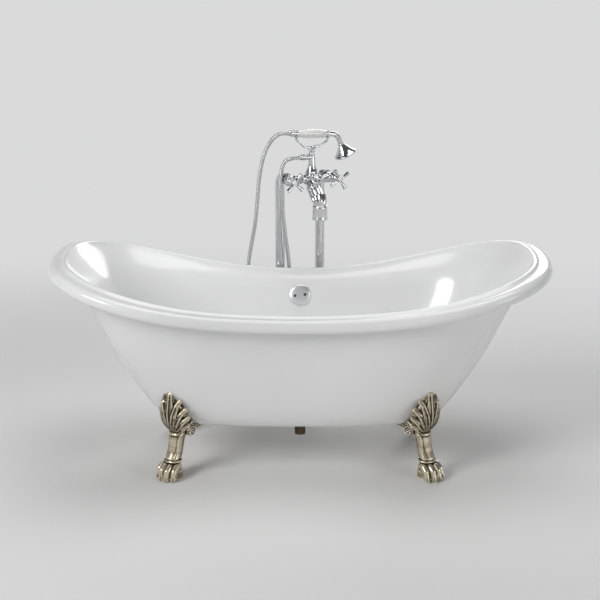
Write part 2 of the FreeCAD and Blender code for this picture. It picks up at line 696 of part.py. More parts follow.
STEM_BASE = LEDGE + " + seat_gap - stem_length"
CAP = LEDGE + " + seat_gap"
turned("waste_plug", (
    ("0", STEM_BASE), ("plug_stem", STEM_BASE), ("plug_stem", CAP), ("plug_radius", CAP),
    ("plug_radius", CAP + " + plug_height / 2"), ("plug_radius * 0.6", CAP + " + plug_height * 0.9"),
    ("0", CAP + " + plug_height")), at_drain())
ring("plug_seal", BORE + " - 4", BORE + " - 0.4", "2.2", at_drain(f"({CAP} - 2.2)"))
guide_rim = cut(cylinder(BORE + " - slip_gap", "6"), cylinder(BORE + " - 2.5", "6"))
bar_one = doc.addObject("Part::Box", "Bar")
bar_two = doc.addObject("Part::Box", "Bar")
for bar, length, width in ((bar_one, "Length", "Width"), (bar_two, "Width", "Length")):
    bar.setExpression(length, bound("2 * (" + BORE + ") - 2"))
    bar.setExpression(width, "3")
    bar.setExpression("Height", "6")
bar_one.setExpression("Placement", bound(at("1 - (" + BORE + ")", "-1.5", "0")))
bar_two.setExpression("Placement", bound(at("-1.5", "1 - (" + BORE + ")", "0")))
guide = joined([guide_rim, bar_one, bar_two, cylinder("plug_stem + 2.5", "6")])
solid_part("plug_guide", cut(guide, cylinder("plug_stem + spindle_gap", "6")), at_drain("(-34)"))

# ---------------------------------------------------------------- overflow

wall_tilt = math.degrees(math.atan2(-overflow_normal.y, overflow_normal.z))
ON_WALL = (f"placement(vector(0; {overflow_point.y}; overflow_height); "
           f"rotation(vector(1; 0; 0); {wall_tilt}))")
SCREW_TILT = "placement(vector(0; 0; 0); rotation(vector(0; 0; 1); 7))"
COVER_TOP = "cover_height + seat_gap"


def screw_places(z):
    """The two screws of the cover, on a line that leans a little."""
    return [SCREW_TILT + " * " + at(f"cover_screw_spacing / 2 * {side}", "0", z) for side in (-1, 1)]


cover = lathe((
    ("0", "4"), ("overflow_cover - 7", "4"), ("overflow_cover - 7", "seat_gap"), ("overflow_cover", "seat_gap"),
    ("overflow_cover", "seat_gap + 2.5"), ("overflow_cover - 2", "seat_gap + 4.5"),
    ("overflow_cover - 6", "cover_height - 1"), ("overflow_cover - 14", COVER_TOP), ("0", COVER_TOP)))
cover_holes = [cylinder("cover_screw + slip_gap", "20", place) for place in screw_places("0")]
cover_sinks = [cone("cover_screw + slip_gap", "2 * cover_screw + slip_gap", "3", place)
               for place in screw_places(COVER_TOP + " - 3")]
solid_part("overflow_cover", cut(cover, joined(cover_holes + cover_sinks)), ON_WALL)
screw_reach = "(cover_height + shell_wall + gasket_thickness + 12)"
shafts = [cylinder("cover_screw", screw_reach, place) for place in screw_places(f"{COVER_TOP} - {screw_reach}")]
heads = [cone("cover_screw", "2 * cover_screw", "3", place) for place in screw_places(COVER_TOP + " - 3")]
screws = doc.addObject("Part::Compound", "Screws")
screws.Links = [joined(pair) for pair in zip(shafts, heads)]
solid_part("overflow_screws", screws, ON_WALL)

BOX_FRONT = "(-shell_wall - seat_gap - gasket_thickness - wall_bow)"


def behind_wall(near, far):
    """The layer behind the basin's wall between two distances from its wet face."""
    return tub_wall(offset_outline(basin_end, -near), offset_outline(basin_side, -near), near - far)


def wall_plug(radius, depth):
    """A round plug square through the back wall at the overflow."""
    return Part.makeCylinder(
        radius, depth, overflow_point + overflow_normal * 10, overflow_normal * -1)


wall_back = size("shell_wall + seat_gap")
gasket = wall_plug(size("overflow_box"), 60).cut(wall_plug(size("overflow_hole"), 60))
gasket = gasket.common(behind_wall(wall_back, wall_back + size("gasket_thickness")))
shaped("overflow_gasket", biggest(gasket))
box_cup = lathe((
    ("0", BOX_FRONT + " - box_depth"), ("overflow_box", BOX_FRONT + " - box_depth"), ("overflow_box", BOX_FRONT),
    ("overflow_hole + 2", BOX_FRONT), ("overflow_hole + 2", BOX_FRONT + " - box_depth + 2.5"),
    ("0", BOX_FRONT + " - box_depth + 2.5")))
screw_bosses = [cylinder("cover_screw + 2.5", "box_depth - 2", place)
                for place in screw_places(BOX_FRONT + " - box_depth + 1")]
spigot_place = at("0", "0", BOX_FRONT + " - box_depth / 2", "rotation(vector(1; 0; 0); 90)")
spigot = cut(cylinder("overflow_pipe + 1.4", "overflow_box + 20", spigot_place),
             cylinder("overflow_hole + 3", "2 * box_depth", at("0", "0", BOX_FRONT + " - 1.5 * box_depth")))
spigot_bore = cylinder("overflow_pipe + slip_gap", "overflow_box + 30", spigot_place)
boss_bores = [cylinder("cover_screw + spindle_gap", "box_depth", place)
              for place in screw_places(BOX_FRONT + " - box_depth + 3")]
solid_part("overflow_box", cut(joined([box_cup, spigot] + screw_bosses), joined([spigot_bore] + boss_bores)), ON_WALL)
overflow_tube = swept(pipe_route, size("overflow_pipe"), pipe_bend)
overflow_tube = overflow_tube.cut(swept(pipe_route, size("overflow_pipe - pipe_wall"), pipe_bend))
shaped("overflow_pipe", overflow_tube)

# ---------------------------------------------------------------- standpipes

for name, side in (("left", "-"), ("right", "")):
    right = f"{side}pipe_spacing / 2"
    bend = size("elbow_radius")
    top = size("tap_height")
    route = [Vector(0, 0, 0), Vector(0, 0, top), Vector(0, -size("elbow_reach"), top)]
    pipe = swept(route, size("standpipe_radius"), bend)
    pipe = pipe.cut(swept(route, size("standpipe_radius - standpipe_wall"), bend))
    shaped(f"standpipe_{name}", pipe, in_tap(right, "0", "0"))
    flange = lathe((
        ("standpipe_radius + slip_gap", "0"), ("base_radius", "0"), ("base_radius", "4"), ("base_radius - 3", "6"),
        ("standpipe_radius + 8", "6"), ("standpipe_radius + 4", "10"), ("standpipe_radius + 3", "base_height"),
        ("standpipe_radius + slip_gap", "base_height")))
    holes = [cylinder("base_hole", "10", "placement(vector(0; 0; 0); rotation(vector(0; 0; 1); "
                      f"{turn})) * " + at("base_bolt_circle / 2", "0", "0")) for turn in (30, 150, 270)]
    solid_part(f"floor_flange_{name}", cut(flange, joined(holes)), in_tap(right, "0", "0"))
    hex_nut(f"union_nut_{name}", "union_radius", "union_length", "standpipe_radius + slip_gap",
            in_tap(right, "elbow_reach - union_length / 2", "tap_height", "forward"))

adaptors = []
for side in (-1, 1):
    foot_place = Vector(side * size("pipe_spacing / 2"), 0, 0)
    plug = Part.makeCylinder(size("standpipe_radius - standpipe_wall - spindle_gap"), size("inlet_length"), foot_place)
    adaptors.append(plug.cut(Part.makeCylinder(size("inlet_radius"), size("inlet_length"), foot_place)))
shaped("supply_adaptors", Part.makeCompound(adaptors), TAP)

# ---------------------------------------------------------------- mixer body and valves

BODY = "-body_reach"
hub = lathe((("0", "-hub_height / 2"), ("hub_radius - 7", "-hub_height / 2"), ("hub_radius", "8 - hub_height / 2"),
             ("hub_radius", "hub_height / 2 - 6"), ("hub_radius - 2", "hub_height / 2"), ("0", "hub_height / 2")))
hub.setExpression("Placement", bound(at("0", BODY, "tap_height")))
SLOPE = f"rotation(vector(1; 0; 0); 90 + spout_slope)"
body_pieces = [
    hub,
    cylinder("bar_radius", "valve_spacing", at("-valve_spacing / 2", BODY, "tap_height", "right")),
    cylinder("bar_radius - 3.5", "hub_radius + 4", at("0", BODY, "tap_height + diverter_lift", "forward")),
    cylinder("spout_root - 2", "spout_start", at("0", BODY, "tap_height - 4", SLOPE)),
]
for side in ("-", ""):
    valve = f"{side}valve_spacing / 2"
    body_pieces.append(ball("chamber_radius", at(valve, BODY, "tap_height")))
    body_pieces.append(cylinder("valve_seat", "seat_length", at(valve, BODY, "tap_height", "forward")))
    body_pieces.append(cylinder("standpipe_radius", "body_reach - elbow_reach",
                                at(f"{side}pipe_spacing / 2", "-elbow_reach", "tap_height", "forward")))
spindle_bores = [cylinder("spindle_radius + spindle_gap", "60", at(f"{side}valve_spacing / 2", "-body_reach - 8",
                                                                  "tap_height", "forward")) for side in ("-", "")]
spindle_bores.append(cylinder("spindle_radius + spindle_gap", "60",
                              at("0", "-body_reach - 14", "tap_height + diverter_lift", "forward")))
solid_part("mixer_body", cut(joined(body_pieces), joined(spindle_bores)), TAP)

RUNNING = "spindle_radius + spindle_gap"
BONNET = "body_reach + seat_length"
HANDLE = BONNET + " + bonnet_length + 0.5"
for name, side, arm_turn in (("hot", "-", 47), ("cold", "", 31)):
    valve = f"{side}valve_spacing / 2"
    turned(f"valve_bonnet_{name}", (
        (RUNNING, "0"), ("bonnet_radius", "0"), ("bonnet_radius", "bonnet_length * 0.3"),
        ("bonnet_radius - 3", "bonnet_length * 0.5"), ("bonnet_radius - 6", "bonnet_length"),
        (RUNNING, "bonnet_length")), in_tap(valve, BONNET, "tap_height", "forward"))
    turned(f"valve_spindle_{name}", (
        ("0", "0"), ("spindle_radius", "0"), ("spindle_radius", "seat_length + bonnet_length + handle_depth - 14"),
        ("0", "seat_length + bonnet_length + handle_depth - 14")),
        in_tap(valve, "body_reach + 12", "tap_height", "forward"))
    arms = [cylinder("arm_radius", "2 * handle_reach - 2 * tip_radius",
                     at("-handle_reach + tip_radius", "0", "handle_depth / 2", "right")),
            cylinder("arm_radius", "2 * handle_reach - 2 * tip_radius",
                     at("0", "handle_reach - tip_radius", "handle_depth / 2", "forward"))]
    tips = [ball("tip_radius", at(x, y, "handle_depth / 2")) for x, y in (
        ("handle_reach - tip_radius", "0"), ("tip_radius - handle_reach", "0"),
        ("0", "handle_reach - tip_radius"), ("0", "tip_radius - handle_reach"))]
    grip = joined([cylinder("handle_hub", "handle_depth")] + arms + tips)
    bore = cylinder(RUNNING, "handle_depth - 1.4")
    turn_place = f" * placement(vector(0; 0; 0); rotation(vector(0; 0; 1); {arm_turn}))"
    solid_part(f"cross_handle_{name}", cut(grip, bore), in_tap(valve, HANDLE, "tap_height", "forward") + turn_place)
    turned(f"handle_button_{name}", (
        ("0", "0"), ("button_radius", "0"), ("button_radius", "button_height * 0.6"),
        ("button_radius * 0.6", "button_height"), ("0", "button_height * 1.05")),
        in_tap(valve, HANDLE + " + handle_depth", "tap_height", "forward"))

DIVERTER = "body_reach + hub_radius + 4"
turned("diverter_spindle", (("0", "0"), ("spindle_radius", "0"), ("spindle_radius", "hub_radius + knob_length - 22"),
                            ("0", "hub_radius + knob_length - 22")),
       in_tap("0", "body_reach + 18", "tap_height + diverter_lift", "forward"))
knob = lathe((("0", "0.5"), ("knob_radius - 2", "0.5"), ("knob_radius", "3"), ("knob_radius", "knob_length - 4"),
              ("knob_radius - 4", "knob_length"), ("0", "knob_length + 0.5")))
flutes = [cylinder("3", "knob_length", f"placement(vector(0; 0; 0); rotation(vector(0; 0; 1); {turn})) * "
                   + at("knob_radius + 1.6", "0", "2")) for turn in range(0, 360, 60)]
knob_bore = cylinder(RUNNING, "knob_length - 6.5")
solid_part("diverter_knob", cut(knob, joined(flutes + [knob_bore])),
           in_tap("0", DIVERTER, "tap_height + diverter_lift", "forward"))

# ---------------------------------------------------------------- spout

slope = math.radians(size("spout_slope"))
spout_start = Vector(0, -size("body_reach") - size("spout_start") * math.cos(slope),
                     size("tap_height") - 4 - size("spout_start") * math.sin(slope))
spout_way = Vector(0, -math.cos(slope), -math.sin(slope))
spout_last = Vector(0, -size("spout_reach"), size("spout_end"))
pull = 0.42 * (spout_last - spout_start).Length
spout_line = Part.BezierCurve()
spout_line.setPoles([spout_start, spout_start + spout_way * pull, spout_last + Vector(0, 0, pull), spout_last])


def along_spout(first_radius, last_radius):
    """A loft through circles along the spout's line."""
    circles = []
    for step in range(7):
        share = step / 6
        radius = first_radius + (last_radius - first_radius) * share
        tangent = spout_line.tangent(share)[0]
        circles.append(Part.Wire([Part.makeCircle(radius, spout_line.value(share), tangent)]))
    return Part.makeLoft(circles, True, False)


spout = along_spout(size("spout_root"), size("spout_tip"))
shaped("spout", spout.cut(along_spout(size("spout_root - 10"), size("spout_tip - 6"))), TAP)
COLLAR_SEAT = "collar_height - aerator_depth"
at_spout = in_tap("0", "spout_reach", "spout_end", "down")
turned("spout_collar", (
    ("spout_tip - 6", "0"), ("spout_tip + 2", "0"), ("collar_radius", "6"), ("collar_radius", "collar_height - 8"),
    ("collar_radius - 1.5", "collar_height"), ("aerator_radius + slip_gap", "collar_height"),
    ("aerator_radius + slip_gap", COLLAR_SEAT), ("spout_tip - 6", COLLAR_SEAT)), at_spout)
turned("spout_aerator", (
    ("0", COLLAR_SEAT), ("aerator_radius", COLLAR_SEAT), ("aerator_radius", "collar_height - 1"),
    ("aerator_radius - 3", "collar_height - 1"), ("aerator_radius - 3", "collar_height - 3"),
    ("0", "collar_height - 3")), at_spout)

# ---------------------------------------------------------------- cradle

HUB_TOP = "tap_height + hub_height / 2"
column = lathe((
    ("0", "0"), ("column_base - 1", "0"), ("column_base", "2"), ("column_base", "5"), ("column_base - 4", "9"),
    ("column_waist + 4", "20"), ("column_waist + 1", "34"), ("column_waist", "46"), ("column_waist", "72"),
    ("column_waist - 1.5", "80"), ("column_waist + 1", "84"), ("column_waist + 1", f"column_top - ({HUB_TOP})"),
    ("0", f"column_top - ({HUB_TOP})")))
column.setExpression("Placement", bound(at("0", BODY, HUB_TOP)))
outlet = cylinder("outlet_radius", "outlet_reach", at("0", BODY, "outlet_height", "left"))
solid_part("cradle_column", joined([column, outlet]), TAP)

fork_tilt = math.radians(size("handset_tilt"))
handset_axis = Vector(math.cos(fork_tilt), 0, -math.sin(fork_tilt))
handset_middle = Vector(0, -size("body_reach"), size("handset_height"))
column_end = Vector(0, -size("body_reach"), size("column_top"))
yoke_pieces = [Part.makeCylinder(size("column_waist + 1"), 7, column_end)]
ferrule_space = []
for side in (-1, 1):
    fork_middle = handset_middle + handset_axis * (side * size("yoke_span"))
    fork_bottom = fork_middle - Vector(0, 0, size("ferrule_radius + seat_gap + fork_wall") + 1)
    arm_route = [column_end + Vector(side * 3, 0, 5), column_end + Vector(side * 31, 0, 7),
                 Vector(fork_bottom.x - side * 7, fork_bottom.y, fork_bottom.z - 18), fork_bottom + Vector(0, 0, 3)]
    yoke_pieces.append(swept(arm_route, size("yoke_radius")))
    start = fork_middle - handset_axis * size("fork_width / 2")
    cup = Part.makeCylinder(size("ferrule_radius + seat_gap + fork_wall"), size("fork_width"), start, handset_axis)
    above = Part.makeBox(80, 80, 80, fork_middle + Vector(-40, -40, 2))
    yoke_pieces.append(cup.cut(above))
    ferrule_space.append(Part.makeCylinder(size("ferrule_radius + seat_gap"), 60,
                                           fork_middle - handset_axis * 30, handset_axis))
shaped("cradle_yoke", yoke_pieces[0].fuse(yoke_pieces[1:]).cut(ferrule_space), TAP)

# ---------------------------------------------------------------- handset

GRIP = "grip_length / 2"
turned("handset_grip", (
    ("0", "0"), ("grip_end", "0"), ("grip_end + 1.6", "grip_length * 0.07"), ("grip_radius - 1", "grip_length * 0.2"),
    ("grip_radius", "grip_length * 0.38"), ("grip_radius", "grip_length * 0.62"),
    ("grip_radius - 1", "grip_length * 0.8"), ("grip_end + 1.6", "grip_length * 0.93"), ("grip_end", "grip_length"),
    ("0", "grip_length")), in_handset(f"-{GRIP}"))
FERRULE = (("0", "0"), ("ferrule_radius", "0"), ("ferrule_radius", "ferrule_length"), ("0", "ferrule_length"))
turned("ferrule_left", FERRULE, in_handset(f"-{GRIP} - ferrule_length"))
turned("ferrule_right", FERRULE, in_handset(GRIP))
turned("hose_nut_handset", (
    ("hose_bore", "0"), ("nut_radius + 1", "0"), ("nut_radius + 1", "8"), ("nut_radius - 1", "11"),
    ("hose_radius + 1", "nut_length"), ("hose_bore", "nut_length")),
    in_handset(f"-{GRIP} - ferrule_length", "0", "left"))
turned("hose_nut_mixer", (
    ("hose_bore", "0"), ("nut_radius", "0"), ("nut_radius", "12"), ("nut_radius - 1.5", "15"),
    ("hose_radius + 1", "nut_length"), ("hose_bore", "nut_length")),
    in_tap("-outlet_reach", "body_reach", "outlet_height", "left"))

head_angle = math.radians(size("head_turn"))
head_axis = Vector(math.sin(head_angle), 0, -math.cos(head_angle))
neck_start = Vector(size(GRIP + " + ferrule_length"), 0, 0)
apex = Vector(size("neck_reach"), 0, -size("neck_drop"))
neck_corner = apex - head_axis * (size("neck_drop") / math.cos(head_angle))
shaped("handset_neck", swept([neck_start, neck_corner, apex], size("neck_radius"), 24), HANDSET)
HEAD = in_handset("neck_reach", "-neck_drop", "rotation(vector(0; 1; 0); 180 - head_turn)")
PLATE_SEAT = "head_height - face_height + 2"
turned("shower_head", (
    ("0", "0"), ("neck_radius + 1.5", "0"), ("neck_radius + 2", "head_height * 0.11"),
    ("head_radius * 0.36", "head_height * 0.3"), ("head_radius * 0.64", "head_height * 0.6"),
    ("head_radius * 0.9", "head_height * 0.85"), ("head_radius", "head_height - 2"), ("head_radius", "head_height + 2"),
    ("head_radius - 4", "head_height + 2"), ("head_radius - 4", PLATE_SEAT), ("0", PLATE_SEAT)), HEAD)
turned("spray_plate", (
    ("0", PLATE_SEAT), ("head_radius - 4.2", PLATE_SEAT), ("head_radius - 4.2", "head_height + 2"),
    ("head_radius * 0.6", "head_height + 4.4"), ("0", "head_height + face_height")), HEAD)

# ---------------------------------------------------------------- shower hose

turn_angle = math.radians(size("tap_turn"))
tap_right = Vector(math.cos(turn_angle), math.sin(turn_angle), 0)
tap_forward = Vector(math.sin(turn_angle), -math.cos(turn_angle), 0)
tap_middle = Vector(size("tap_x"), size("tap_y"), 0)


def from_tap(right, forward, z):
    return tap_middle + tap_right * right + tap_forward * forward + Vector(0, 0, z)


mixer_nut = -size("outlet_reach + nut_length + nut_gap")
handset_nut = -size(GRIP + " + ferrule_length + nut_length + nut_gap")
hose_start = from_tap(mixer_nut, size("body_reach"), size("outlet_height"))
handset_way = tap_right * math.cos(fork_tilt) - Vector(0, 0, math.sin(fork_tilt))
hose_end = from_tap(0, size("body_reach"), size("handset_height")) + handset_way * handset_nut
# from the mixer's outlet down in front of the left standpipe, round a loop behind the rim
# and up to the handset
HOSE_ROUTE = (
    (-58, 301, 1032), (-72, 300, 988), (-72, 306, 918), (-65, 325, 838), (-56, 348, 748),
    (-46, 373, 664), (-39, 388, 590), (-41, 385, 522), (-58, 371, 464), (-99, 362, 437),
    (-146, 368, 446), (-180, 383, 489), (-198, 399, 553), (-199, 401, 622), (-185, 382, 700),
    (-170, 358, 778), (-161, 339, 856), (-156, 325, 930), (-147, 312, 1000), (-130, 302, 1066), (-101, 292, 1118),
)
hose_points = [hose_start, hose_start - tap_right * 30]
hose_points += [Vector(*point) for point in HOSE_ROUTE]
hose_points += [hose_end - handset_way * 30, hose_end]
hose_line, hose_radii = straight_and_round(hose_points)
print("hose length", round(hose_line.Length, 1), "least radius", round(min(hose_radii), 1))
print("hose radii", [round(radius) for radius in hose_radii])
hose_steps = hose_line.discretize(Number=150)
hose_gap = min(first.distanceToPoint(second) for place, first in enumerate(hose_steps)
               for second in hose_steps[place + 12:]) - 2 * size("hose_radius")
print("hose least gap to itself", round(hose_gap, 1))


def hose_frames(distances):
    """The points of the hose's line at some distances, with its directions there."""
    frames = []
    edges = hose_line.OrderedEdges
    for distance in distances:
        left = distance
        for edge in edges:
            if left <= edge.Length or edge is edges[-1]:
                parameter = edge.getParameterByLength(min(left, edge.Length))
                frames.append((edge.valueAt(parameter), edge.tangentAt(parameter)))
                break
            left -= edge.Length
    return frames


def hose_circle(place, radius):
    """A circle round the hose's line, whose start lies on a steady side."""
    point, tangent = place
    side = Vector(0, 1, 0).cross(tangent).normalize()
    circle = Part.Wire([Part.makeCircle(radius)])
    circle.Placement = FreeCAD.Placement(point, FreeCAD.Rotation(side, Vector(), tangent, "ZXY"))
    return circle


plain_end = 2 * size("hose_radius")
rib_pitch = (hose_line.Length - 2 * plain_end) / size("rib_count")
valley = size("hose_radius - rib_height")
rib_marks = [(0, size("hose_radius")), (plain_end * 0.9, size("hose_radius"))]
for rib in range(int(size("rib_count"))):
    foot_mark = plain_end + rib * rib_pitch
    rib_marks += [(foot_mark, valley), (foot_mark + rib_pitch * 0.2, size("hose_radius")),
                  (foot_mark + rib_pitch * 0.6, size("hose_radius")), (foot_mark + rib_pitch * 0.8, valley)]
rib_marks += [(hose_line.Length - plain_end * 0.9, size("hose_radius")), (hose_line.Length, size("hose_radius"))]
rib_places = hose_frames([mark for mark, radius in rib_marks])
hose = Part.makeLoft([hose_circle(place, radius) for place, (mark, radius) in zip(rib_places, rib_marks)], True, True)
bore_marks = [hose_line.Length * step / 260 for step in range(261)]
bore = Part.makeLoft([hose_circle(place, size("hose_bore")) for place in hose_frames(bore_marks)], True, True)
hose = biggest(hose.cut(bore))
print("hose volume", round(hose.Volume), "section times length",
      round(math.pi * (size("hose_radius - rib_height / 2") ** 2 - size("hose_bore") ** 2) * hose_line.Length))
shaped("shower_hose", hose)

# ---------------------------------------------------------------- check and export

doc.recompute()
failed = [obj.Name for obj in doc.Objects if {"Invalid", "Error"} & set(obj.State)]
failed += [obj.Label for obj in subparts if obj.Shape.isNull() or not obj.Shape.isValid()]
if failed:
    raise RuntimeError(f"failed: {failed}")
os.makedirs("parts", exist_ok=True)
for obj in subparts:
    obj.Shape.exportStep(f"parts/{obj.Label}.step")
print(len(subparts), "sub-parts")
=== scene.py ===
import math

import bmesh
import bpy
import numpy as np
from mathutils import Matrix, Vector
from mathutils.bvhtree import BVHTree


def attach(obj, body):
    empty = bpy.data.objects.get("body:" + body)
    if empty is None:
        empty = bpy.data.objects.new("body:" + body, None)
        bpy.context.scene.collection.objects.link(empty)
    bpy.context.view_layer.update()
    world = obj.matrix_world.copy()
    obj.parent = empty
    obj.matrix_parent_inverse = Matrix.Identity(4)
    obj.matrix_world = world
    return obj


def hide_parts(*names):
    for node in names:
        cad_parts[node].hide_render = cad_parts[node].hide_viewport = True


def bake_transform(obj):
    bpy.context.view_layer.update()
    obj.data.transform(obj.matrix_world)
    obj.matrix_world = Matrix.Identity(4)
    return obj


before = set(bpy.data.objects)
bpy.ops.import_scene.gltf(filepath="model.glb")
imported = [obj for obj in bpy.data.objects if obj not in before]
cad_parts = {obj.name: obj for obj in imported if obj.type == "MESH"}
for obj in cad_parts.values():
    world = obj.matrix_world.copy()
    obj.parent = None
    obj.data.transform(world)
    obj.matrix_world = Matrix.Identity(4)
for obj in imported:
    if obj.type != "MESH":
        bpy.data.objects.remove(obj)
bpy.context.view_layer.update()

# ---------------------------------------------------------------- basin
# The tub's inner shell is one vacuum-formed sheet of glossy white acrylic, backed with glass fibre.
# Its walls sweep up to high rounded ends, and its edge rolls over outwards and turns under.

MM = 0.001
TUB_LENGTH, TUB_WIDTH = 1750, 728
END_HEIGHT, MIDDLE_HEIGHT = 761, 610
FLOOR_CLEARANCE = 170
BASE_LENGTH, BASE_WIDTH = 910, 356
BOARD_LENGTH, BOARD_WIDTH, BOARD_THICKNESS = 850, 320, 28
SHELL_WALL, SKIRT_WALL = 8, 6
ROLL_END, ROLL_SIDE, ROLL_DROP = 60.5, 49.2, 50.3
END_POWER, SIDE_POWER = 2 / 2.967, 2 / 3.005
WAIST_DEPTH = 0.342
RING_POLES = 32

# outlines as shares of reach and height: the skirt's end and side, and the rolled rim
SKIRT_END = ((0, 0), (0.105, 0.007), (0.229, 0.109), (0.408, 0.281), (0.565, 0.458), (0.691, 0.63),
             (0.832, 0.827), (0.937, 0.942), (1, 1))
SKIRT_SIDE = ((0, 0), (0.191, 0.028), (0.411, 0.136), (0.553, 0.305), (0.695, 0.516), (0.823, 0.728),
              (0.908, 0.892), (0.965, 0.967), (1, 1))
RIM_ROLL = ((-0.16, -0.29), (-0.09, 0.05), (0.09, 0.065), (0.22, -0.065), (0.40, -0.08), (0.73, -0.05),
            (1, -0.32), (1, -0.77), (0.80, -1), (0.62, -0.97))


def offset_outline(points, distance):
    """The outline moved to its left, corner by corner."""
    points = np.array(points, float)
    steps = np.diff(points, axis=0)
    left = np.stack([-steps[:, 1], steps[:, 0]], 1) / np.linalg.norm(steps, axis=1)[:, None]
    before = np.vstack([np.zeros((1, 2)), left])
    after = np.vstack([left, np.zeros((1, 2))])
    total = before + after
    count = np.full(len(points), 2.0)
    count[[0, -1]] = 1
    return points + distance * total * (count / (total ** 2).sum(1))[:, None]


def tub_rows(end_outline, side_outline):
    """Rows of poles round the tub: ovals with wide shoulders and raised ends."""
    turn = np.arange(RING_POLES) * 2 * math.pi / RING_POLES
    lift = 3 / (2 + math.cos(turn[1]))
    along = np.sign(np.cos(turn)) * np.abs(np.cos(turn)) ** END_POWER
    across = np.sign(np.sin(turn)) * np.abs(np.sin(turn)) ** SIDE_POWER
    share = np.abs(along)
    ridge = 0.674 * share ** 2.48 + 0.326 * (1 - np.cos(np.pi * share)) / 2
    waist = (1 - np.cos(np.pi * np.minimum(1, 1.15 * share))) / 2
    rows = []
    for (half_length, end_z), (half_width, middle_z) in zip(end_outline, side_outline):
        shoulder = WAIST_DEPTH * max(0, (middle_z - FLOOR_CLEARANCE) / (MIDDLE_HEIGHT - FLOOR_CLEARANCE))
        rows.append(np.stack([half_length * along * lift,
                              half_width * across * (1 + shoulder * waist) * lift,
                              middle_z + (end_z - middle_z) * ridge], 1))
    return np.array(rows)


def spline_weights(count, knots, values, degree=3):
    """How much each pole of a B-spline counts at each value along it."""
    basis = np.array([(values >= knots[i]) & (values < knots[i + 1]) for i in range(len(knots) - 1)], float)
    for order in range(1, degree + 1):
        grown = np.zeros((len(basis) - 1, len(values)))
        for i in range(len(grown)):
            for side, low, high in ((i, knots[i], knots[i + order]), (i + 1, knots[i + order + 1], knots[i + 1])):
                if high != low:
                    grown[i] += basis[side] * (values - low) / (high - low)
        basis = grown
    return basis[:count].T


def smooth_shell(end_outline, side_outline, per_row=7, per_pole=8):
    """Points of the smooth tub face that follows two outlines, row by row."""
    rows = tub_rows(end_outline, side_outline)
    count = len(rows)
    knots = np.array([0] * 3 + list(range(count - 2)) + [count - 3] * 3, float)
    values = np.linspace(0, count - 3, (count - 3) * per_row + 1)
    values[-1] -= 1e-9
    along = spline_weights(count, knots, values)
    wrapped = np.concatenate([rows, rows[:, :3]], 1)
    around_values = np.arange(RING_POLES * per_pole) / per_pole + 3
    around_values = (around_values - 1 - 3) % RING_POLES + 3
    around = spline_weights(RING_POLES + 3, np.arange(RING_POLES + 7, dtype=float), around_values)
    return np.einsum("ar,rpc,bp->abc", along, wrapped, around) * MM


def grid_mesh(name, layers, closed=True):
    """A mesh from rings of points; closed joins the last ring to the first."""
    layers = np.asarray(layers)
    count, around = layers.shape[:2]
    faces = []
    for i in range(count if closed else count - 1):
        j = (i + 1) % count
        for k in range(around):
            m = (k + 1) % around
            faces.append((i * around + k, i * around + m, j * around + m, j * around + k))
    mesh = bpy.data.meshes.new(name)
    mesh.from_pydata(layers.reshape(-1, 3).tolist(), [], faces)
    return mesh


def close_and_face_out(mesh, merge=1e-6):
    """Merges doubles, fills open ends and turns every face outwards."""
    work = bmesh.new()
    work.from_mesh(mesh)
    bmesh.ops.remove_doubles(work, verts=work.verts, dist=merge)
    bmesh.ops.holes_fill(work, edges=[edge for edge in work.edges if edge.is_boundary])
    bmesh.ops.recalc_face_normals(work, faces=work.faces)
    work.to_mesh(mesh)
    work.free()
    return mesh


def piece(name, mesh, body, slot, material, *nodes, crease=40):
    """A finished piece of the object, in place of its CAD nodes."""
    mesh.name = name
    mesh.shade_smooth()
    mesh.set_sharp_from_angle(angle=math.radians(crease))
    mesh.materials.clear()
    mesh.materials.append(material)
    made = bpy.data.objects.new(name, mesh)
    bpy.context.scene.collection.objects.link(made)
    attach(made, body)
    if nodes:
        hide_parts(*nodes)
    return made


def drilled(mesh, drills):
    """The mesh with round holes: drills are (centre, direction, radius, length)."""
    work = bpy.data.objects.new("work", mesh)
    bpy.context.scene.collection.objects.link(work)
    tools = []
    for centre, direction, radius, length in drills:
        drill = bmesh.new()
        turn = Vector(direction).to_track_quat("Z", "Y").to_matrix().to_4x4()
        bmesh.ops.create_cone(drill, cap_ends=True, segments=64, radius1=radius * MM, radius2=radius * MM,
                              depth=length * MM, matrix=Matrix.Translation(Vector(centre) * MM) @ turn)
        drill_mesh = bpy.data.meshes.new("drill")
        drill.to_mesh(drill_mesh)
        drill.free()
        tool = bpy.data.objects.new("drill", drill_mesh)
        bpy.context.scene.collection.objects.link(tool)
        tools.append(tool)
        cut = work.modifiers.new("hole", "BOOLEAN")
        cut.operation = "DIFFERENCE"
        cut.solver = "EXACT"
        cut.object = tool
    result = bpy.data.meshes.new_from_object(work.evaluated_get(bpy.context.evaluated_depsgraph_get()))
    for extra in [work] + tools:
        bpy.data.objects.remove(extra)
    return result


def nodes_of(material):
    """The material's node tree and its main shader, with a helper that adds a linked node."""
    material.use_nodes = True
    tree = material.node_tree
    shader = tree.nodes["Principled BSDF"]

    def add(kind, **values):
        node = tree.nodes.new(kind)
        for name, value in values.items():
            if hasattr(node, name):
                setattr(node, name, value)
            else:
                node.inputs[name.replace("_", " ")].default_value = value
        return node
    return tree, shader, add


def ramp(tree, add, factor, stops):
    """A colour ramp on a factor: stops are (position, (r, g, b))."""
    node = add("ShaderNodeValToRGB")
    node.color_ramp.elements[0].position = stops[0][0]
    node.color_ramp.elements[0].color = (*stops[0][1], 1)
    node.color_ramp.elements[1].position = stops[-1][0]
    node.color_ramp.elements[1].color = (*stops[-1][1], 1)
    for position, colour in stops[1:-1]:
        element = node.color_ramp.elements.new(position)
        element.color = (*colour, 1)
    tree.links.new(factor, node.inputs["Fac"])
    return node.outputs["Color"]


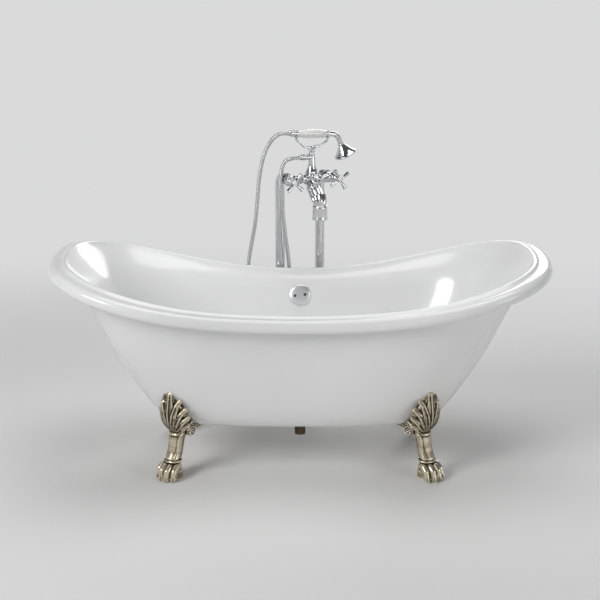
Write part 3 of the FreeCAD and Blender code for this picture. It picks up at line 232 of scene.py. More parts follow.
def acrylic():
    """Polished white acrylic: a clear gloss over a body with the faintest drift of tone and ripple."""
    material = bpy.data.materials.new("white_acrylic")
    tree, shader, add = nodes_of(material)
    place = add("ShaderNodeTexCoord")
    drift = add("ShaderNodeTexNoise", Scale=1.7, Detail=3.0)
    tree.links.new(place.outputs["Object"], drift.inputs["Vector"])
    tone = ramp(tree, add, drift.outputs["Fac"], ((0.35, (0.885, 0.887, 0.89)), (0.65, (0.915, 0.915, 0.912))))
    tree.links.new(tone, shader.inputs["Base Color"])
    ripple = add("ShaderNodeTexNoise", Scale=9.0, Detail=2.0)
    tree.links.new(place.outputs["Object"], ripple.inputs["Vector"])
    bump = add("ShaderNodeBump", Strength=0.025, Distance=0.01)
    tree.links.new(ripple.outputs["Fac"], bump.inputs["Height"])
    tree.links.new(bump.outputs["Normal"], shader.inputs["Normal"])
    tree.links.new(bump.outputs["Normal"], shader.inputs["Coat Normal"])
    gloss = add("ShaderNodeMapRange", To_Min=0.2, To_Max=0.3)
    tree.links.new(drift.outputs["Fac"], gloss.inputs["Value"])
    tree.links.new(gloss.outputs["Result"], shader.inputs["Roughness"])
    shader.inputs["Coat Weight"].default_value = 0.6
    shader.inputs["Coat Roughness"].default_value = 0.06
    return material


white_acrylic = acrylic()
crest_end = (TUB_LENGTH / 2 - ROLL_END, END_HEIGHT)
crest_side = (TUB_WIDTH / 2 - ROLL_SIDE, MIDDLE_HEIGHT)
rim_inset = SHELL_WALL + 2 * SKIRT_WALL


def between(shares, low, high):
    """An outline from its shares of the way between two corners."""
    return [(low[0] + (high[0] - low[0]) * a, low[1] + (high[1] - low[1]) * b) for a, b in shares]


skirt_end = [(BOARD_LENGTH / 2, FLOOR_CLEARANCE)] + between(
    SKIRT_END, (BASE_LENGTH / 2, FLOOR_CLEARANCE), (crest_end[0] + 3, crest_end[1] - rim_inset))
skirt_side = [(BOARD_WIDTH / 2, FLOOR_CLEARANCE)] + between(
    SKIRT_SIDE, (BASE_WIDTH / 2, FLOOR_CLEARANCE), (crest_side[0] + 4, crest_side[1] - rim_inset + 4))
wall_depth = SKIRT_WALL + BOARD_THICKNESS + SHELL_WALL


def rolled(crest, reach):
    """The rolled rim's outline from its crest outwards."""
    return [(crest[0] + a * reach, crest[1] + b * ROLL_DROP) for a, b in RIM_ROLL]


basin_end = np.vstack([offset_outline(skirt_end, wall_depth)[:-2], rolled(crest_end, ROLL_END)])
basin_side = np.vstack([offset_outline(skirt_side, wall_depth)[:-2], rolled(crest_side, ROLL_SIDE)])


def closed_wall(name, end_outline, side_outline, thickness):
    """A wall of the tub: its face, and its back at a thickness, joined round the edge and capped flat."""
    end_path = np.vstack([end_outline, offset_outline(end_outline, thickness)[::-1]])
    side_path = np.vstack([side_outline, offset_outline(side_outline, thickness)[::-1]])
    return close_and_face_out(grid_mesh(name, smooth_shell(end_path, side_path), closed=False))


basin_mesh = closed_wall("basin", basin_end, basin_side, -SHELL_WALL)
wet_work = bmesh.new()
wet_work.from_mesh(basin_mesh)
wet_tree = BVHTree.FromBMesh(wet_work)
wet_work.free()


def wet_face(height):
    """Where the back wall's inner face is at a height, on the tub's middle line, in millimetres."""
    return wet_tree.ray_cast(Vector((0, 0, height * MM)), Vector((0, 1, 0)))[0] / MM


DRAIN_Y, DRAIN_HOLE, DRILL_LENGTH = 62, 26.3, 60
DRAIN = Vector((0, DRAIN_Y, FLOOR_CLEARANCE + wall_depth))
OVERFLOW_HEIGHT, OVERFLOW_HOLE = 529, 24
overflow = wet_face(OVERFLOW_HEIGHT)
wall_up = (wet_face(OVERFLOW_HEIGHT + OVERFLOW_HOLE) - wet_face(OVERFLOW_HEIGHT - OVERFLOW_HOLE)).normalized()
overflow_out = Vector((0, -wall_up.z, wall_up.y))
basin_mesh = drilled(basin_mesh, [(DRAIN, (0, 0, 1), DRAIN_HOLE, DRILL_LENGTH),
                                  (overflow, overflow_out, OVERFLOW_HOLE, DRILL_LENGTH)])
piece("acrylic_basin", basin_mesh, "tub", "tub", white_acrylic, "basin_shell", crease=50)

# ---------------------------------------------------------------- skirt
# The outer skirt is a second white acrylic shell round the basin, and hides the base board.
# It ends under the rolled rim and turns in under the tub, where the waste and feet come through.

WASTE_CUTOUT = 42
skirt_mesh = closed_wall("skirt", skirt_end, skirt_side, SKIRT_WALL)
skirt_mesh = drilled(skirt_mesh, [((0, DRAIN_Y, FLOOR_CLEARANCE), (0, 0, 1), WASTE_CUTOUT, DRILL_LENGTH)])
skirt = piece("acrylic_skirt", skirt_mesh, "tub", "tub", white_acrylic, "outer_skirt", crease=50)
skirt_work = bmesh.new()
skirt_work.from_mesh(skirt.data)
skirt_tree = BVHTree.FromBMesh(skirt_work)
skirt_work.free()

# ---------------------------------------------------------------- base board and its fixings
# A plywood board is laid in under the basin. The feet bolt to it through the skirt, with a washer
# under each bolt's head and a flanged threaded insert in the board.


def plywood():
    """Raw plywood: pale veneer with long grain, in thin layers at the edges."""
    material = bpy.data.materials.new("plywood")
    tree, shader, add = nodes_of(material)
    place = add("ShaderNodeTexCoord")
    stretch = add("ShaderNodeMapping")
    stretch.inputs["Scale"].default_value = (2.5, 40, 60)
    tree.links.new(place.outputs["Object"], stretch.inputs["Vector"])
    grain = add("ShaderNodeTexNoise", Scale=4.0, Detail=6.0, Distortion=0.6)
    tree.links.new(stretch.outputs["Vector"], grain.inputs["Vector"])
    layers = add("ShaderNodeTexWave", Scale=55.0, Distortion=0.4, bands_direction="Z")
    tree.links.new(place.outputs["Object"], layers.inputs["Vector"])
    mixed = add("ShaderNodeMath", operation="MULTIPLY")
    tree.links.new(grain.outputs["Fac"], mixed.inputs[0])
    tree.links.new(layers.outputs["Fac"], mixed.inputs[1])
    tone = ramp(tree, add, mixed.outputs[0], ((0.05, (0.42, 0.29, 0.17)), (0.6, (0.68, 0.53, 0.35))))
    tree.links.new(tone, shader.inputs["Base Color"])
    shader.inputs["Roughness"].default_value = 0.75
    return material


def worn_metal(name, dark, light, rough_low, rough_high, scale=60.0, bump_strength=0.05, metallic=1.0):
    """Plain metal with a drift of tone, gloss and fine grain."""
    material = bpy.data.materials.new(name)
    tree, shader, add = nodes_of(material)
    place = add("ShaderNodeTexCoord")
    drift = add("ShaderNodeTexNoise", Scale=scale, Detail=4.0)
    tree.links.new(place.outputs["Object"], drift.inputs["Vector"])
    tone = ramp(tree, add, drift.outputs["Fac"], ((0.3, dark), (0.7, light)))
    tree.links.new(tone, shader.inputs["Base Color"])
    gloss = add("ShaderNodeMapRange", To_Min=rough_low, To_Max=rough_high)
    tree.links.new(drift.outputs["Fac"], gloss.inputs["Value"])
    tree.links.new(gloss.outputs["Result"], shader.inputs["Roughness"])
    bump = add("ShaderNodeBump", Strength=bump_strength, Distance=0.001)
    tree.links.new(drift.outputs["Fac"], bump.inputs["Height"])
    tree.links.new(bump.outputs["Normal"], shader.inputs["Normal"])
    shader.inputs["Metallic"].default_value = metallic
    return material


def dress(material, *names):
    """A CAD node whose shape is right gets its finish, in its object's material slots."""
    for name in names:
        for slot in bpy.data.objects[name].material_slots:
            slot.material = material


dress(plywood(), "base_board")
zinc_plate = worn_metal("zinc_plate", (0.5, 0.5, 0.48), (0.72, 0.72, 0.7), 0.3, 0.45)
dress(zinc_plate, "foot_bolts", "foot_washers", "foot_inserts")

# ---------------------------------------------------------------- claw feet
# Each foot is one cast lion's paw in antique bronze: a paw with four toes, a fluted shank, and an
# acanthus leaf that lies up the skirt, with a scroll on either side and a bolted tongue below the tub.

FOOT_X, FOOT_Y, FOOT_TURN = 450, 228, math.radians(53)
TONGUE_TOP, TONGUE_THICKNESS, TONGUE_WIDTH, TONGUE_REACH = 170, 12, 44, 246
# the leaf's front at a height: reach, half depth and half width
LEAF_FRONT = ((150, -36, 20, 20), (163, -58, 34, 30), (180, -50, 42, 42), (205, -40, 48, 54), (232, -36, 50, 58),
              (260, -28, 41, 50), (285, -21, 29, 37), (303, -15, 20, 22), (320, -13, 12, 14))
clay = bmesh.new()


def ball_points(centre, radii, rings=6, around=10):
    """Points on an ellipsoid."""
    if not hasattr(radii, "__len__"):
        radii = (radii, radii, radii)
    points = []
    for ring in range(rings + 1):
        rise = math.pi * ring / rings
        for step in range(around):
            turn = 2 * math.pi * step / around
            points.append(Vector((centre[0] + radii[0] * math.sin(rise) * math.cos(turn),
                                  centre[1] + radii[1] * math.sin(rise) * math.sin(turn),
                                  centre[2] + radii[2] * math.cos(rise))))
    return points


def add_hull(points):
    """A closed lump of clay round some points."""
    lump = bmesh.new()
    for point in points:
        lump.verts.new(point)
    bmesh.ops.remove_doubles(lump, verts=lump.verts, dist=1e-4)
    hull = bmesh.ops.convex_hull(lump, input=lump.verts)
    loose = {item for item in hull["geom_interior"] + hull["geom_unused"] if isinstance(item, bmesh.types.BMVert)}
    bmesh.ops.delete(lump, geom=list(loose), context="VERTS")
    bmesh.ops.recalc_face_normals(lump, faces=lump.faces)
    made = bpy.data.meshes.new("lump")
    lump.to_mesh(made)
    lump.free()
    clay.from_mesh(made)
    bpy.data.meshes.remove(made)


def roll_clay(*beads):
    """A roll of clay through beads, each a centre and its radii."""
    for (first, first_radii), (second, second_radii) in zip(beads, beads[1:]):
        add_hull(ball_points(first, first_radii) + ball_points(second, second_radii))


def leaf_section(height):
    """The leaf's reach, half depth and half width at a height."""
    levels, *columns = zip(*LEAF_FRONT)
    return [np.interp(height, levels, column) for column in columns]


def leaf_front(side, height):
    """How far the leaf's front reaches at a side and height."""
    reach, depth, width = leaf_section(height)
    return reach + depth * math.sqrt(max(0.02, 1 - (side / width) ** 2))


# the paw: heel, ball and ankle
roll_clay(((-14, 0, 27), (26, 35, 25)), ((6, 0, 31), (27, 39, 23)), ((-2, 0, 50), (25, 32, 17)),
          ((-10, 0, 68), (25, 28, 10)))
add_hull(ball_points((-12, 0, 24), (27, 35, 23)) + [Vector((x, y, 0)) for x in (-32, 20) for y in (-26, 26)])
TOES = ((-33, 12), (-11.3, 0), (11.3, 0), (33, 12))
for side, back in TOES:
    inward = side * 0.86
    roll_clay(((4 - back, inward, 50), (13, 10.2, 11)), ((22 - back, side * 0.94, 47), (13, 11.6, 12.5)),
              ((36 - back, side, 35), (12, 11.2, 13)), ((41 - back, side * 1.02, 20), (10.8, 10.4, 12.5)),
              ((40 - back, side * 1.02, 10), (10, 9.8, 9)))
    roll_clay(((45 - back, side * 1.03, 24), (6, 4.2, 7)), ((51 - back, side * 1.04, 14), (4.6, 3.4, 6)),
              ((53.5 - back, side * 1.05, 4.5), (2.4, 2, 4)))
# the plain rolled edge where the shank stands in the paw
CUFF_STEPS = 28
cuff_turns = [2 * math.pi * step / CUFF_STEPS for step in range(CUFF_STEPS + 1)]
roll_clay(*[((-9 + 27.5 * math.cos(turn), 30.5 * math.sin(turn), 66), (3.4, 3.4, 3.2)) for turn in cuff_turns])

# the shank, with its broad flutes
SHANK = ((-11, 74, 29), (-22, 92, 28), (-28, 114, 27.5), (-32, 136, 28.5), (-40, 158, 30), (-46, 170, 28))
roll_clay(*[((x, 0, z), (r * 0.84, r * 0.84, 9)) for x, z, r in SHANK])
# each flute's turn round the shank, and its two half widths
FLUTES = ((0, 8, 17.5), (-74, 15, 8), (74, 15, 8), (-122, 7, 8), (122, 7, 8), (-160, 6, 8), (160, 6, 8))
for degrees, deep, broad in FLUTES:
    turn = math.radians(degrees)
    roll_clay(*[((x + math.cos(turn) * (r - 8), math.sin(turn) * (r - 8), z), (deep * r / 29, broad * r / 29, 7))
                for x, z, r in SHANK])
for degrees in (-47, 47):
    turn = math.radians(degrees)
    roll_clay(*[((x + math.cos(turn) * (r - 3.2), math.sin(turn) * (r - 3.2), z), (2.6, 2.6, 7)) for x, z, r in SHANK])

# the knee under the leaf
KNEE = ((163, 0.74), (180, 0.8), (205, 0.84), (232, 0.85), (260, 0.82), (285, 0.76), (303, 0.6))
knee_beads = []
for height, share in KNEE:
    reach, depth, width = leaf_section(height)
    knee_beads.append(((reach, 0, height), (depth * share, width * share * 0.92, 9)))
roll_clay(*knee_beads)

# the leaf: lobes that fan up from its root, each with a rib down its middle and a rolled tip
LOBES = ((2, 147, 11), (20, 126, 10), (-16, 116, 10), (38, 104, 9.5), (-34, 96, 9.5),
         (58, 84, 9), (-56, 78, 9), (82, 64, 8.5), (-80, 60, 8.5))
LEAF_ROOT = 166
for degrees, length, thick in LOBES:
    lean = math.radians(degrees)
    beads = []
    ribs = []
    for step in range(8):
        share = step / 7
        spread = math.sin(lean) * length * share * (0.62 + 0.18 * share)
        rise = LEAF_ROOT + math.cos(lean * (1 - 0.25 * share)) * length * share * 0.99
        width = thick * (0.55 + 1.35 * math.sin(math.pi * min(0.86, share * 0.9 + 0.06)))
        front = leaf_front(spread, rise)
        curl = 5.5 * max(0, share - 0.82) / 0.18
        beads.append(((front - 2 + curl, spread, rise), (5.4, width, 9)))
        ribs.append(((front + 3 + curl, spread * 1.01, rise), (3, 3.4, 5)))
    roll_clay(*beads)
    # the lobes on the far side lie smooth against each other
    if degrees > -20:
        roll_clay(*ribs)
        tip = beads[-1][0]
        roll_clay((tip, (6.5, 8.5, 7)), ((tip[0] + 2, tip[1] * 1.02, tip[2] - 4), (6.5, 7, 5)))
# the collar under the leaf's root, and a scroll on either side
roll_clay(((-16, 0, 158), (11, 22, 6)), ((-24, 0, 166), (12, 26, 7)))
SCROLL_X, SCROLL_Z, SCROLL_SIDE, SCROLL_RADIUS = -66, 163, 36, 19
for side in (-1, 1):
    scroll = []
    for turn in [0.5 * step for step in range(21)]:
        away = SCROLL_RADIUS - turn * 1.55
        scroll.append(((SCROLL_X + math.cos(turn + 0.7) * away, side * SCROLL_SIDE,
                        SCROLL_Z + math.sin(turn + 0.7) * away), (4.4, 9, 4.4)))
    roll_clay(*scroll)
    roll_clay(((SCROLL_X, side * 30, SCROLL_Z), (17, 8, 17)), ((SCROLL_X, side * 34, SCROLL_Z), (16, 6, 16)))
    for lift, reach in ((0, 0), (9, 6), (-8, 8)):
        roll_clay(((-48, side * 37, 180 + lift), (5, 7, 4.4)), ((-68, side * 36, 188 + lift), (5, 8, 4.4)),
                  ((-90 - reach, side * 28, 181 + lift), (5, 8, 4.4)),
                  ((-114 - reach, side * 20, 172 + lift / 2), (4, 7, 3.4)))
# the tongue that bolts to the base board
tongue_bottom = TONGUE_TOP - TONGUE_THICKNESS
add_hull([Vector((x, y, z)) for x in (-TONGUE_REACH, -50) for y in (-TONGUE_WIDTH / 2, TONGUE_WIDTH / 2)
          for z in (tongue_bottom, TONGUE_TOP)])
add_hull([Vector((x, y, z)) for x, z in ((-150, tongue_bottom), (-60, tongue_bottom), (-60, 140), (-75, 140))
          for y in (-6, 6)])

# the rolls fused into one casting, and its edges rubbed soft
VOXEL, QUICK_VOXEL = 1.55, 3.0
clay_mesh = bpy.data.meshes.new("clay")
clay.to_mesh(clay_mesh)
clay.free()
clay_object = bpy.data.objects.new("clay", clay_mesh)
bpy.context.scene.collection.objects.link(clay_object)
fused = clay_object.modifiers.new("fused", "REMESH")
fused.mode = "VOXEL"
fused.voxel_size = VOXEL
softened = clay_object.modifiers.new("softened", "SMOOTH")
softened.factor = 0.5
softened.iterations = 2
foot_mesh = bpy.data.meshes.new_from_object(clay_object.evaluated_get(bpy.context.evaluated_depsgraph_get()))
bpy.data.objects.remove(clay_object)


def hollows(mesh, passes=12):
    """How deep each point lies in a hollow, from how far smoothing lifts it along its normal."""
    count = len(mesh.vertices)
    points = np.zeros(count * 3)
    mesh.vertices.foreach_get("co", points)
    points = points.reshape(-1, 3)
    normals = np.zeros(count * 3)
    mesh.vertices.foreach_get("normal", normals)
    normals = normals.reshape(-1, 3)
    pairs = np.zeros(len(mesh.edges) * 2, int)
    mesh.edges.foreach_get("vertices", pairs)
    pairs = pairs.reshape(-1, 2)
    degree = np.bincount(pairs.ravel(), minlength=count).clip(1)[:, None]
    smooth = points.copy()
    for _ in range(passes):
        total = np.zeros_like(smooth)
        np.add.at(total, pairs[:, 0], smooth[pairs[:, 1]])
        np.add.at(total, pairs[:, 1], smooth[pairs[:, 0]])
        smooth = 0.4 * smooth + 0.6 * total / degree
    return ((smooth - points) * normals).sum(1)


foot_hollows = hollows(foot_mesh)
foot_mesh.attributes.new("hollow", "FLOAT", "POINT").data.foreach_set("value", foot_hollows.astype(np.float32))


def antique_bronze():
    """Cast bronze with dark patina in the hollows and pale worn gold on what stands proud."""
    material = bpy.data.materials.new("antique_bronze")
    tree, shader, add = nodes_of(material)
    place = add("ShaderNodeTexCoord")
    hollow = add("ShaderNodeAttribute", attribute_name="hollow")
    mottle = add("ShaderNodeTexNoise", Scale=38.0, Detail=6.0, Roughness=0.6)
    tree.links.new(place.outputs["Object"], mottle.inputs["Vector"])
    depth = add("ShaderNodeMapRange", From_Min=-0.6, From_Max=0.66, To_Min=0.0, To_Max=1.0)
    tree.links.new(hollow.outputs["Fac"], depth.inputs["Value"])
    spread = add("ShaderNodeMapRange", From_Min=0.3, From_Max=0.7, To_Min=-0.13, To_Max=0.13)
    tree.links.new(mottle.outputs["Fac"], spread.inputs["Value"])
    mottled = add("ShaderNodeMath", operation="ADD", use_clamp=True)
    tree.links.new(depth.outputs["Result"], mottled.inputs[0])
    tree.links.new(spread.outputs["Result"], mottled.inputs[1])
    # the foot's colour is made darker from about the leaf's root upwards, and a little lighter on the shank and paw
    # below
    height = add("ShaderNodeSeparateXYZ")
    tree.links.new(place.outputs["Object"], height.inputs["Vector"])
    darker_upward = add("ShaderNodeMapRange", From_Min=0.13, From_Max=0.19, To_Min=-0.05, To_Max=0.11)
    tree.links.new(height.outputs["Z"], darker_upward.inputs["Value"])
    patina = add("ShaderNodeMath", operation="ADD", use_clamp=True)
    tree.links.new(mottled.outputs[0], patina.inputs[0])
    tree.links.new(darker_upward.outputs["Result"], patina.inputs[1])
    tone = ramp(tree, add, patina.outputs[0], (
        (0.0, (0.84, 0.78, 0.63)), (0.27, (0.66, 0.59, 0.45)), (0.47, (0.36, 0.30, 0.205)),
        (0.64, (0.06, 0.047, 0.033)), (1.0, (0.017, 0.014, 0.011))))
    tree.links.new(tone, shader.inputs["Base Color"])
    gloss = add("ShaderNodeMapRange", To_Min=0.24, To_Max=0.62)
    tree.links.new(patina.outputs[0], gloss.inputs["Value"])
    tree.links.new(gloss.outputs["Result"], shader.inputs["Roughness"])
    sheen = add("ShaderNodeMapRange", To_Min=1.0, To_Max=0.55)
    tree.links.new(patina.outputs[0], sheen.inputs["Value"])
    tree.links.new(sheen.outputs["Result"], shader.inputs["Metallic"])
    bump = add("ShaderNodeBump", Strength=0.25, Distance=0.0006)
    grain = add("ShaderNodeTexNoise", Scale=420.0, Detail=3.0)
    tree.links.new(place.outputs["Object"], grain.inputs["Vector"])
    tree.links.new(grain.outputs["Fac"], bump.inputs["Height"])
    tree.links.new(bump.outputs["Normal"], shader.inputs["Normal"])
    return material


CAST_FROM, NEAR_SKIRT = 0.4, 0.12


def seated(mesh, gap=0.3):
    """Presses what would lie inside the skirt out onto its face, and what lies below the floor up to it."""
    for vertex in mesh.vertices:
        point = vertex.co
        if point.z < 0:
            point.z = 0
        if point.z <= (TONGUE_TOP - 1) * MM:
            continue
        near, normal, _, _ = skirt_tree.find_nearest(point)
        if near.z <= (FLOOR_CLEARANCE - 3) * MM or abs((point - near).dot(normal)) >= NEAR_SKIRT:
            continue
        # met from outside, the skirt's face comes before a point that lies behind it
        away = Vector((point.x, point.y, 0)).normalized()
        hit, _, _, reach = skirt_tree.ray_cast(point + away * CAST_FROM, -away)
        if hit is not None and reach < CAST_FROM:
            face, face_normal, _, _ = skirt_tree.find_nearest(hit)
            vertex.co = face + face_normal * gap * MM


bronze = antique_bronze()
foot_mesh.transform(Matrix.Translation(Vector((-FOOT_X, -FOOT_Y, 0)) * MM)
                    @ Matrix.Rotation(math.pi + FOOT_TURN, 4, "Z") @ Matrix.Scale(MM, 4))
seated(foot_mesh)
for name, mirror_x, mirror_y in (("front_left", 1, 1), ("front_right", -1, 1),
                                 ("rear_left", 1, -1), ("rear_right", -1, -1)):
    one = foot_mesh.copy()
    one.transform(Matrix.Diagonal((mirror_x, mirror_y, 1, 1)))
    if mirror_x * mirror_y < 0:
        one.flip_normals()
    piece(f"lion_paw_{name}", one, "tub", "bronze", bronze, f"claw_foot_{name}", crease=180)

# ---------------------------------------------------------------- waste and overflow
# A chromed brass flange and pop-up plug sit in the drain. Under the tub a brass nut, tee and tailpiece
# take the water away, with the overflow's pipe from its box behind the wall. Rubber seals the joints.


def chrome(name, body=(0.64, 0.65, 0.665), rough=0.05):
    """Polished chrome plate with a trace of handling in its gloss."""
    material = bpy.data.materials.new(name)
    tree, shader, add = nodes_of(material)
    place = add("ShaderNodeTexCoord")
    wipe = add("ShaderNodeTexNoise", Scale=26.0, Detail=4.0)
    tree.links.new(place.outputs["Object"], wipe.inputs["Vector"])
    tone = ramp(tree, add, wipe.outputs["Fac"], ((0.3, tuple(c * 0.97 for c in body)), (0.7, body)))
    tree.links.new(tone, shader.inputs["Base Color"])
    gloss = add("ShaderNodeMapRange", To_Min=rough, To_Max=rough + 0.06)
    tree.links.new(wipe.outputs["Fac"], gloss.inputs["Value"])
    tree.links.new(gloss.outputs["Result"], shader.inputs["Roughness"])
    shader.inputs["Metallic"].default_value = 1
    return material


def moulded(name, dark, light, rough, scale=180.0, strength=0.2):
    """Plastic or rubber with a fine grain."""
    return worn_metal(name, dark, light, rough - 0.06, rough + 0.06, scale, strength, metallic=0)


polished_chrome = chrome("polished_chrome")
turned_brass = worn_metal("turned_brass", (0.60, 0.45, 0.22), (0.74, 0.58, 0.31), 0.22, 0.34, 45.0)
black_rubber = moulded("black_rubber", (0.016, 0.016, 0.017), (0.026, 0.026, 0.027), 0.72)
dark_plastic = moulded("dark_plastic", (0.035, 0.036, 0.038), (0.055, 0.056, 0.06), 0.48)
dress(polished_chrome, "waste_flange", "waste_plug")
# the waste's brass is aged, and its colour is painted much darker still: painted shade, for the shadow it stands in
# under the tub
aged_brass_painted_shade = worn_metal("aged_brass_painted_shade", (0.085, 0.065, 0.04), (0.15, 0.115, 0.07), 0.34, 0.5, 45.0)
dress(aged_brass_painted_shade, "waste_locknut", "waste_tee", "waste_tailpiece", "overflow_pipe")
dress(black_rubber, "waste_seal_upper", "waste_seal_lower", "plug_seal", "overflow_gasket")
dress(dark_plastic, "plug_guide", "overflow_box")

# ---------------------------------------------------------------- overflow cover
# A domed plate of satin chromed brass covers the overflow hole in the back wall. Two slotted countersunk
# steel screws hold it to the box behind the wall, each in a small raised ring.


def rounded(profile, fillet=0.8, steps=4):
    """A profile of (radius, height) with its corners rounded; a third number sets one corner's fillet."""
    points = []
    for place, row in enumerate(profile):
        here = Vector(row[:2])
        reach = row[2] if len(row) > 2 else fillet
        if place in (0, len(profile) - 1) or reach <= 0:
            points.append(here)
            continue
        before, after = Vector(profile[place - 1][:2]), Vector(profile[place + 1][:2])
        reach = min(reach, (before - here).length * 0.46, (after - here).length * 0.46)
        start = here + (before - here).normalized() * reach
        end = here + (after - here).normalized() * reach
        for step in range(steps + 1):
            share = step / steps
            points.append(start * (1 - share) ** 2 + here * 2 * share * (1 - share) + end * share ** 2)
    return points


def facing(way):
    """The turn that lays local Z along a direction."""
    return Vector(way).to_track_quat("Z", "Y").to_matrix().to_4x4()


def lathe(profile, place, around=72, flutes=0, depth=0.0, span=None, swirl=0.0, fillet=0.8):
    """A turned shape about local Z, in millimetres. Flutes press grooves into it over a span of heights."""
    outline = rounded(profile, fillet)
    if flutes:
        finer = [outline[0]]
        for low, high in zip(outline, outline[1:]):
            cuts = max(1, int((high - low).length / 1.5))
            finer += [low.lerp(high, (k + 1) / cuts) for k in range(cuts)]
        outline = finer
    rings = []
    for radius, height in outline:
        ring = []
        for step in range(around):
            turn = 2 * math.pi * step / around
            press = 0
            if flutes and span[0] < height < span[1]:
                share = (height - span[0]) / (span[1] - span[0])
                fade = min(1, 4 * share, 4 * (1 - share))
                press = depth * fade * (1 - abs(math.sin(flutes / 2 * (turn + swirl * share)))) ** 1.5
            ring.append(((radius - press) * math.cos(turn), (radius - press) * math.sin(turn), height))
        rings.append(ring)
    mesh = close_and_face_out(grid_mesh("turned", np.array(rings) * MM, closed=False))
    mesh.transform(place)
    return mesh


def joined(meshes):
    """One mesh from several."""
    work = bmesh.new()
    for mesh in meshes:
        work.from_mesh(mesh)
    result = bpy.data.meshes.new("joined")
    work.to_mesh(result)
    work.free()
    return result


COVER_RADIUS, COVER_HEIGHT, SCREW_SPACING, SCREW_TURN = 40, 7, 38, 7
wall_right = Matrix(((1, 0, 0), (0, overflow_out.z, overflow_out.y), (0, -overflow_out.y, overflow_out.z))).to_4x4()
on_wall = Matrix.Translation(overflow * MM) @ wall_right
cover = lathe(((0, 4, 0), (COVER_RADIUS - 7, 4), (COVER_RADIUS - 7, 0.4), (COVER_RADIUS, 0.4), (COVER_RADIUS, 3, 2),
               (COVER_RADIUS - 6, 6, 5), (COVER_RADIUS - 16, COVER_HEIGHT, 5), (0, COVER_HEIGHT + 0.3, 0)), on_wall, 96)
screw_turn = Matrix.Rotation(math.radians(SCREW_TURN), 4, "Z")
screw_spots = [on_wall @ screw_turn @ Matrix.Translation((side * SCREW_SPACING / 2 * MM, 0, 0)) for side in (-1, 1)]
ring_marks = [lathe(((6.6, COVER_HEIGHT - 0.5, 0), (6.9, COVER_HEIGHT + 0.6, 0.3), (8.2, COVER_HEIGHT - 0.6, 0.3)),
                    spot, 32) for spot in screw_spots]
satin_chrome = chrome("satin_chrome", (0.95, 0.955, 0.96), 0.34)
piece("overflow_plate", joined([cover] + ring_marks), "tub", "chrome", satin_chrome, "overflow_cover")
dark_steel = worn_metal("slotted_steel", (0.10, 0.10, 0.105), (0.17, 0.17, 0.175), 0.25, 0.4)
screws = [lathe(((0, -14, 0), (2.2, -14), (2.2, 3.5), (5.6, COVER_HEIGHT + 0.1, 0.3), (4.6, COVER_HEIGHT + 1.1, 0.6),
                 (0, COVER_HEIGHT + 1.3, 0)), spot, 32) for spot in screw_spots]
piece("cover_screws", joined(screws), "tub", "chrome", dark_steel, "overflow_screws")

# ---------------------------------------------------------------- mixer stand
# Two chromed brass standpipes rise from floor flanges with screw holes, and bend forward at the top, where hex
# union nuts hold the mixer. A threaded brass adaptor in each foot takes the supply pipe.

TAP_Y, TAP_TURN = 435, 25
TAP = Matrix.Translation((0, TAP_Y * MM, 0)) @ Matrix.Rotation(math.radians(TAP_TURN), 4, "Z")
PIPE_SPACING, PIPE_RADIUS, ELBOW_REACH, ELBOW_RADIUS, TAP_HEIGHT = 168, 18, 56, 30, 958
RIGHT, LEFT, FORWARD, UP, DOWN = (1, 0, 0), (-1, 0, 0), (0, -1, 0), (0, 0, 1), (0, 0, -1)


def on_tap(right, forward, height, way=UP):
    """A place in the mixer's own frame, which is turned to face the bather."""
    return TAP @ Matrix.Translation(Vector((right, -forward, height)) * MM) @ facing(way)


def smooth_line(points, per_span=8):
    """Points of a smooth line through corners."""
    points = [Vector(point) for point in points]
    ends = [points[0] * 2 - points[1]] + points + [points[-1] * 2 - points[-2]]
    line = []
    for before, here, following, after in zip(ends, ends[1:], ends[2:], ends[3:]):
        for step in range(per_span):
            t = step / per_span
            line.append(0.5 * ((2 * here) + (following - before) * t
                               + (2 * before - 5 * here + 4 * following - after) * t * t
                               + (3 * here - before - 3 * following + after) * t * t * t))
    return line + [points[-1]]


def tube(line, radii, place, around=32):
    """A closed tube along a line of points, in millimetres; radii is one number or one per point."""
    line = [Vector(point) for point in line]
    count = len(line)
    if not hasattr(radii, "__len__"):
        radii = [radii] * count
    ways = [(line[min(i + 1, count - 1)] - line[max(i - 1, 0)]).normalized() for i in range(count)]
    side = ways[0].orthogonal().normalized()
    rings = []
    for point, way, radius in zip(line, ways, radii):
        side = (side - way * side.dot(way)).normalized()
        other = way.cross(side)
        turns = [2 * math.pi * k / around for k in range(around)]
        rings.append([point + (side * math.cos(turn) + other * math.sin(turn)) * radius for turn in turns])
    mesh = close_and_face_out(grid_mesh("tube", np.array(rings) * MM, closed=False))
    mesh.transform(place)
    return mesh


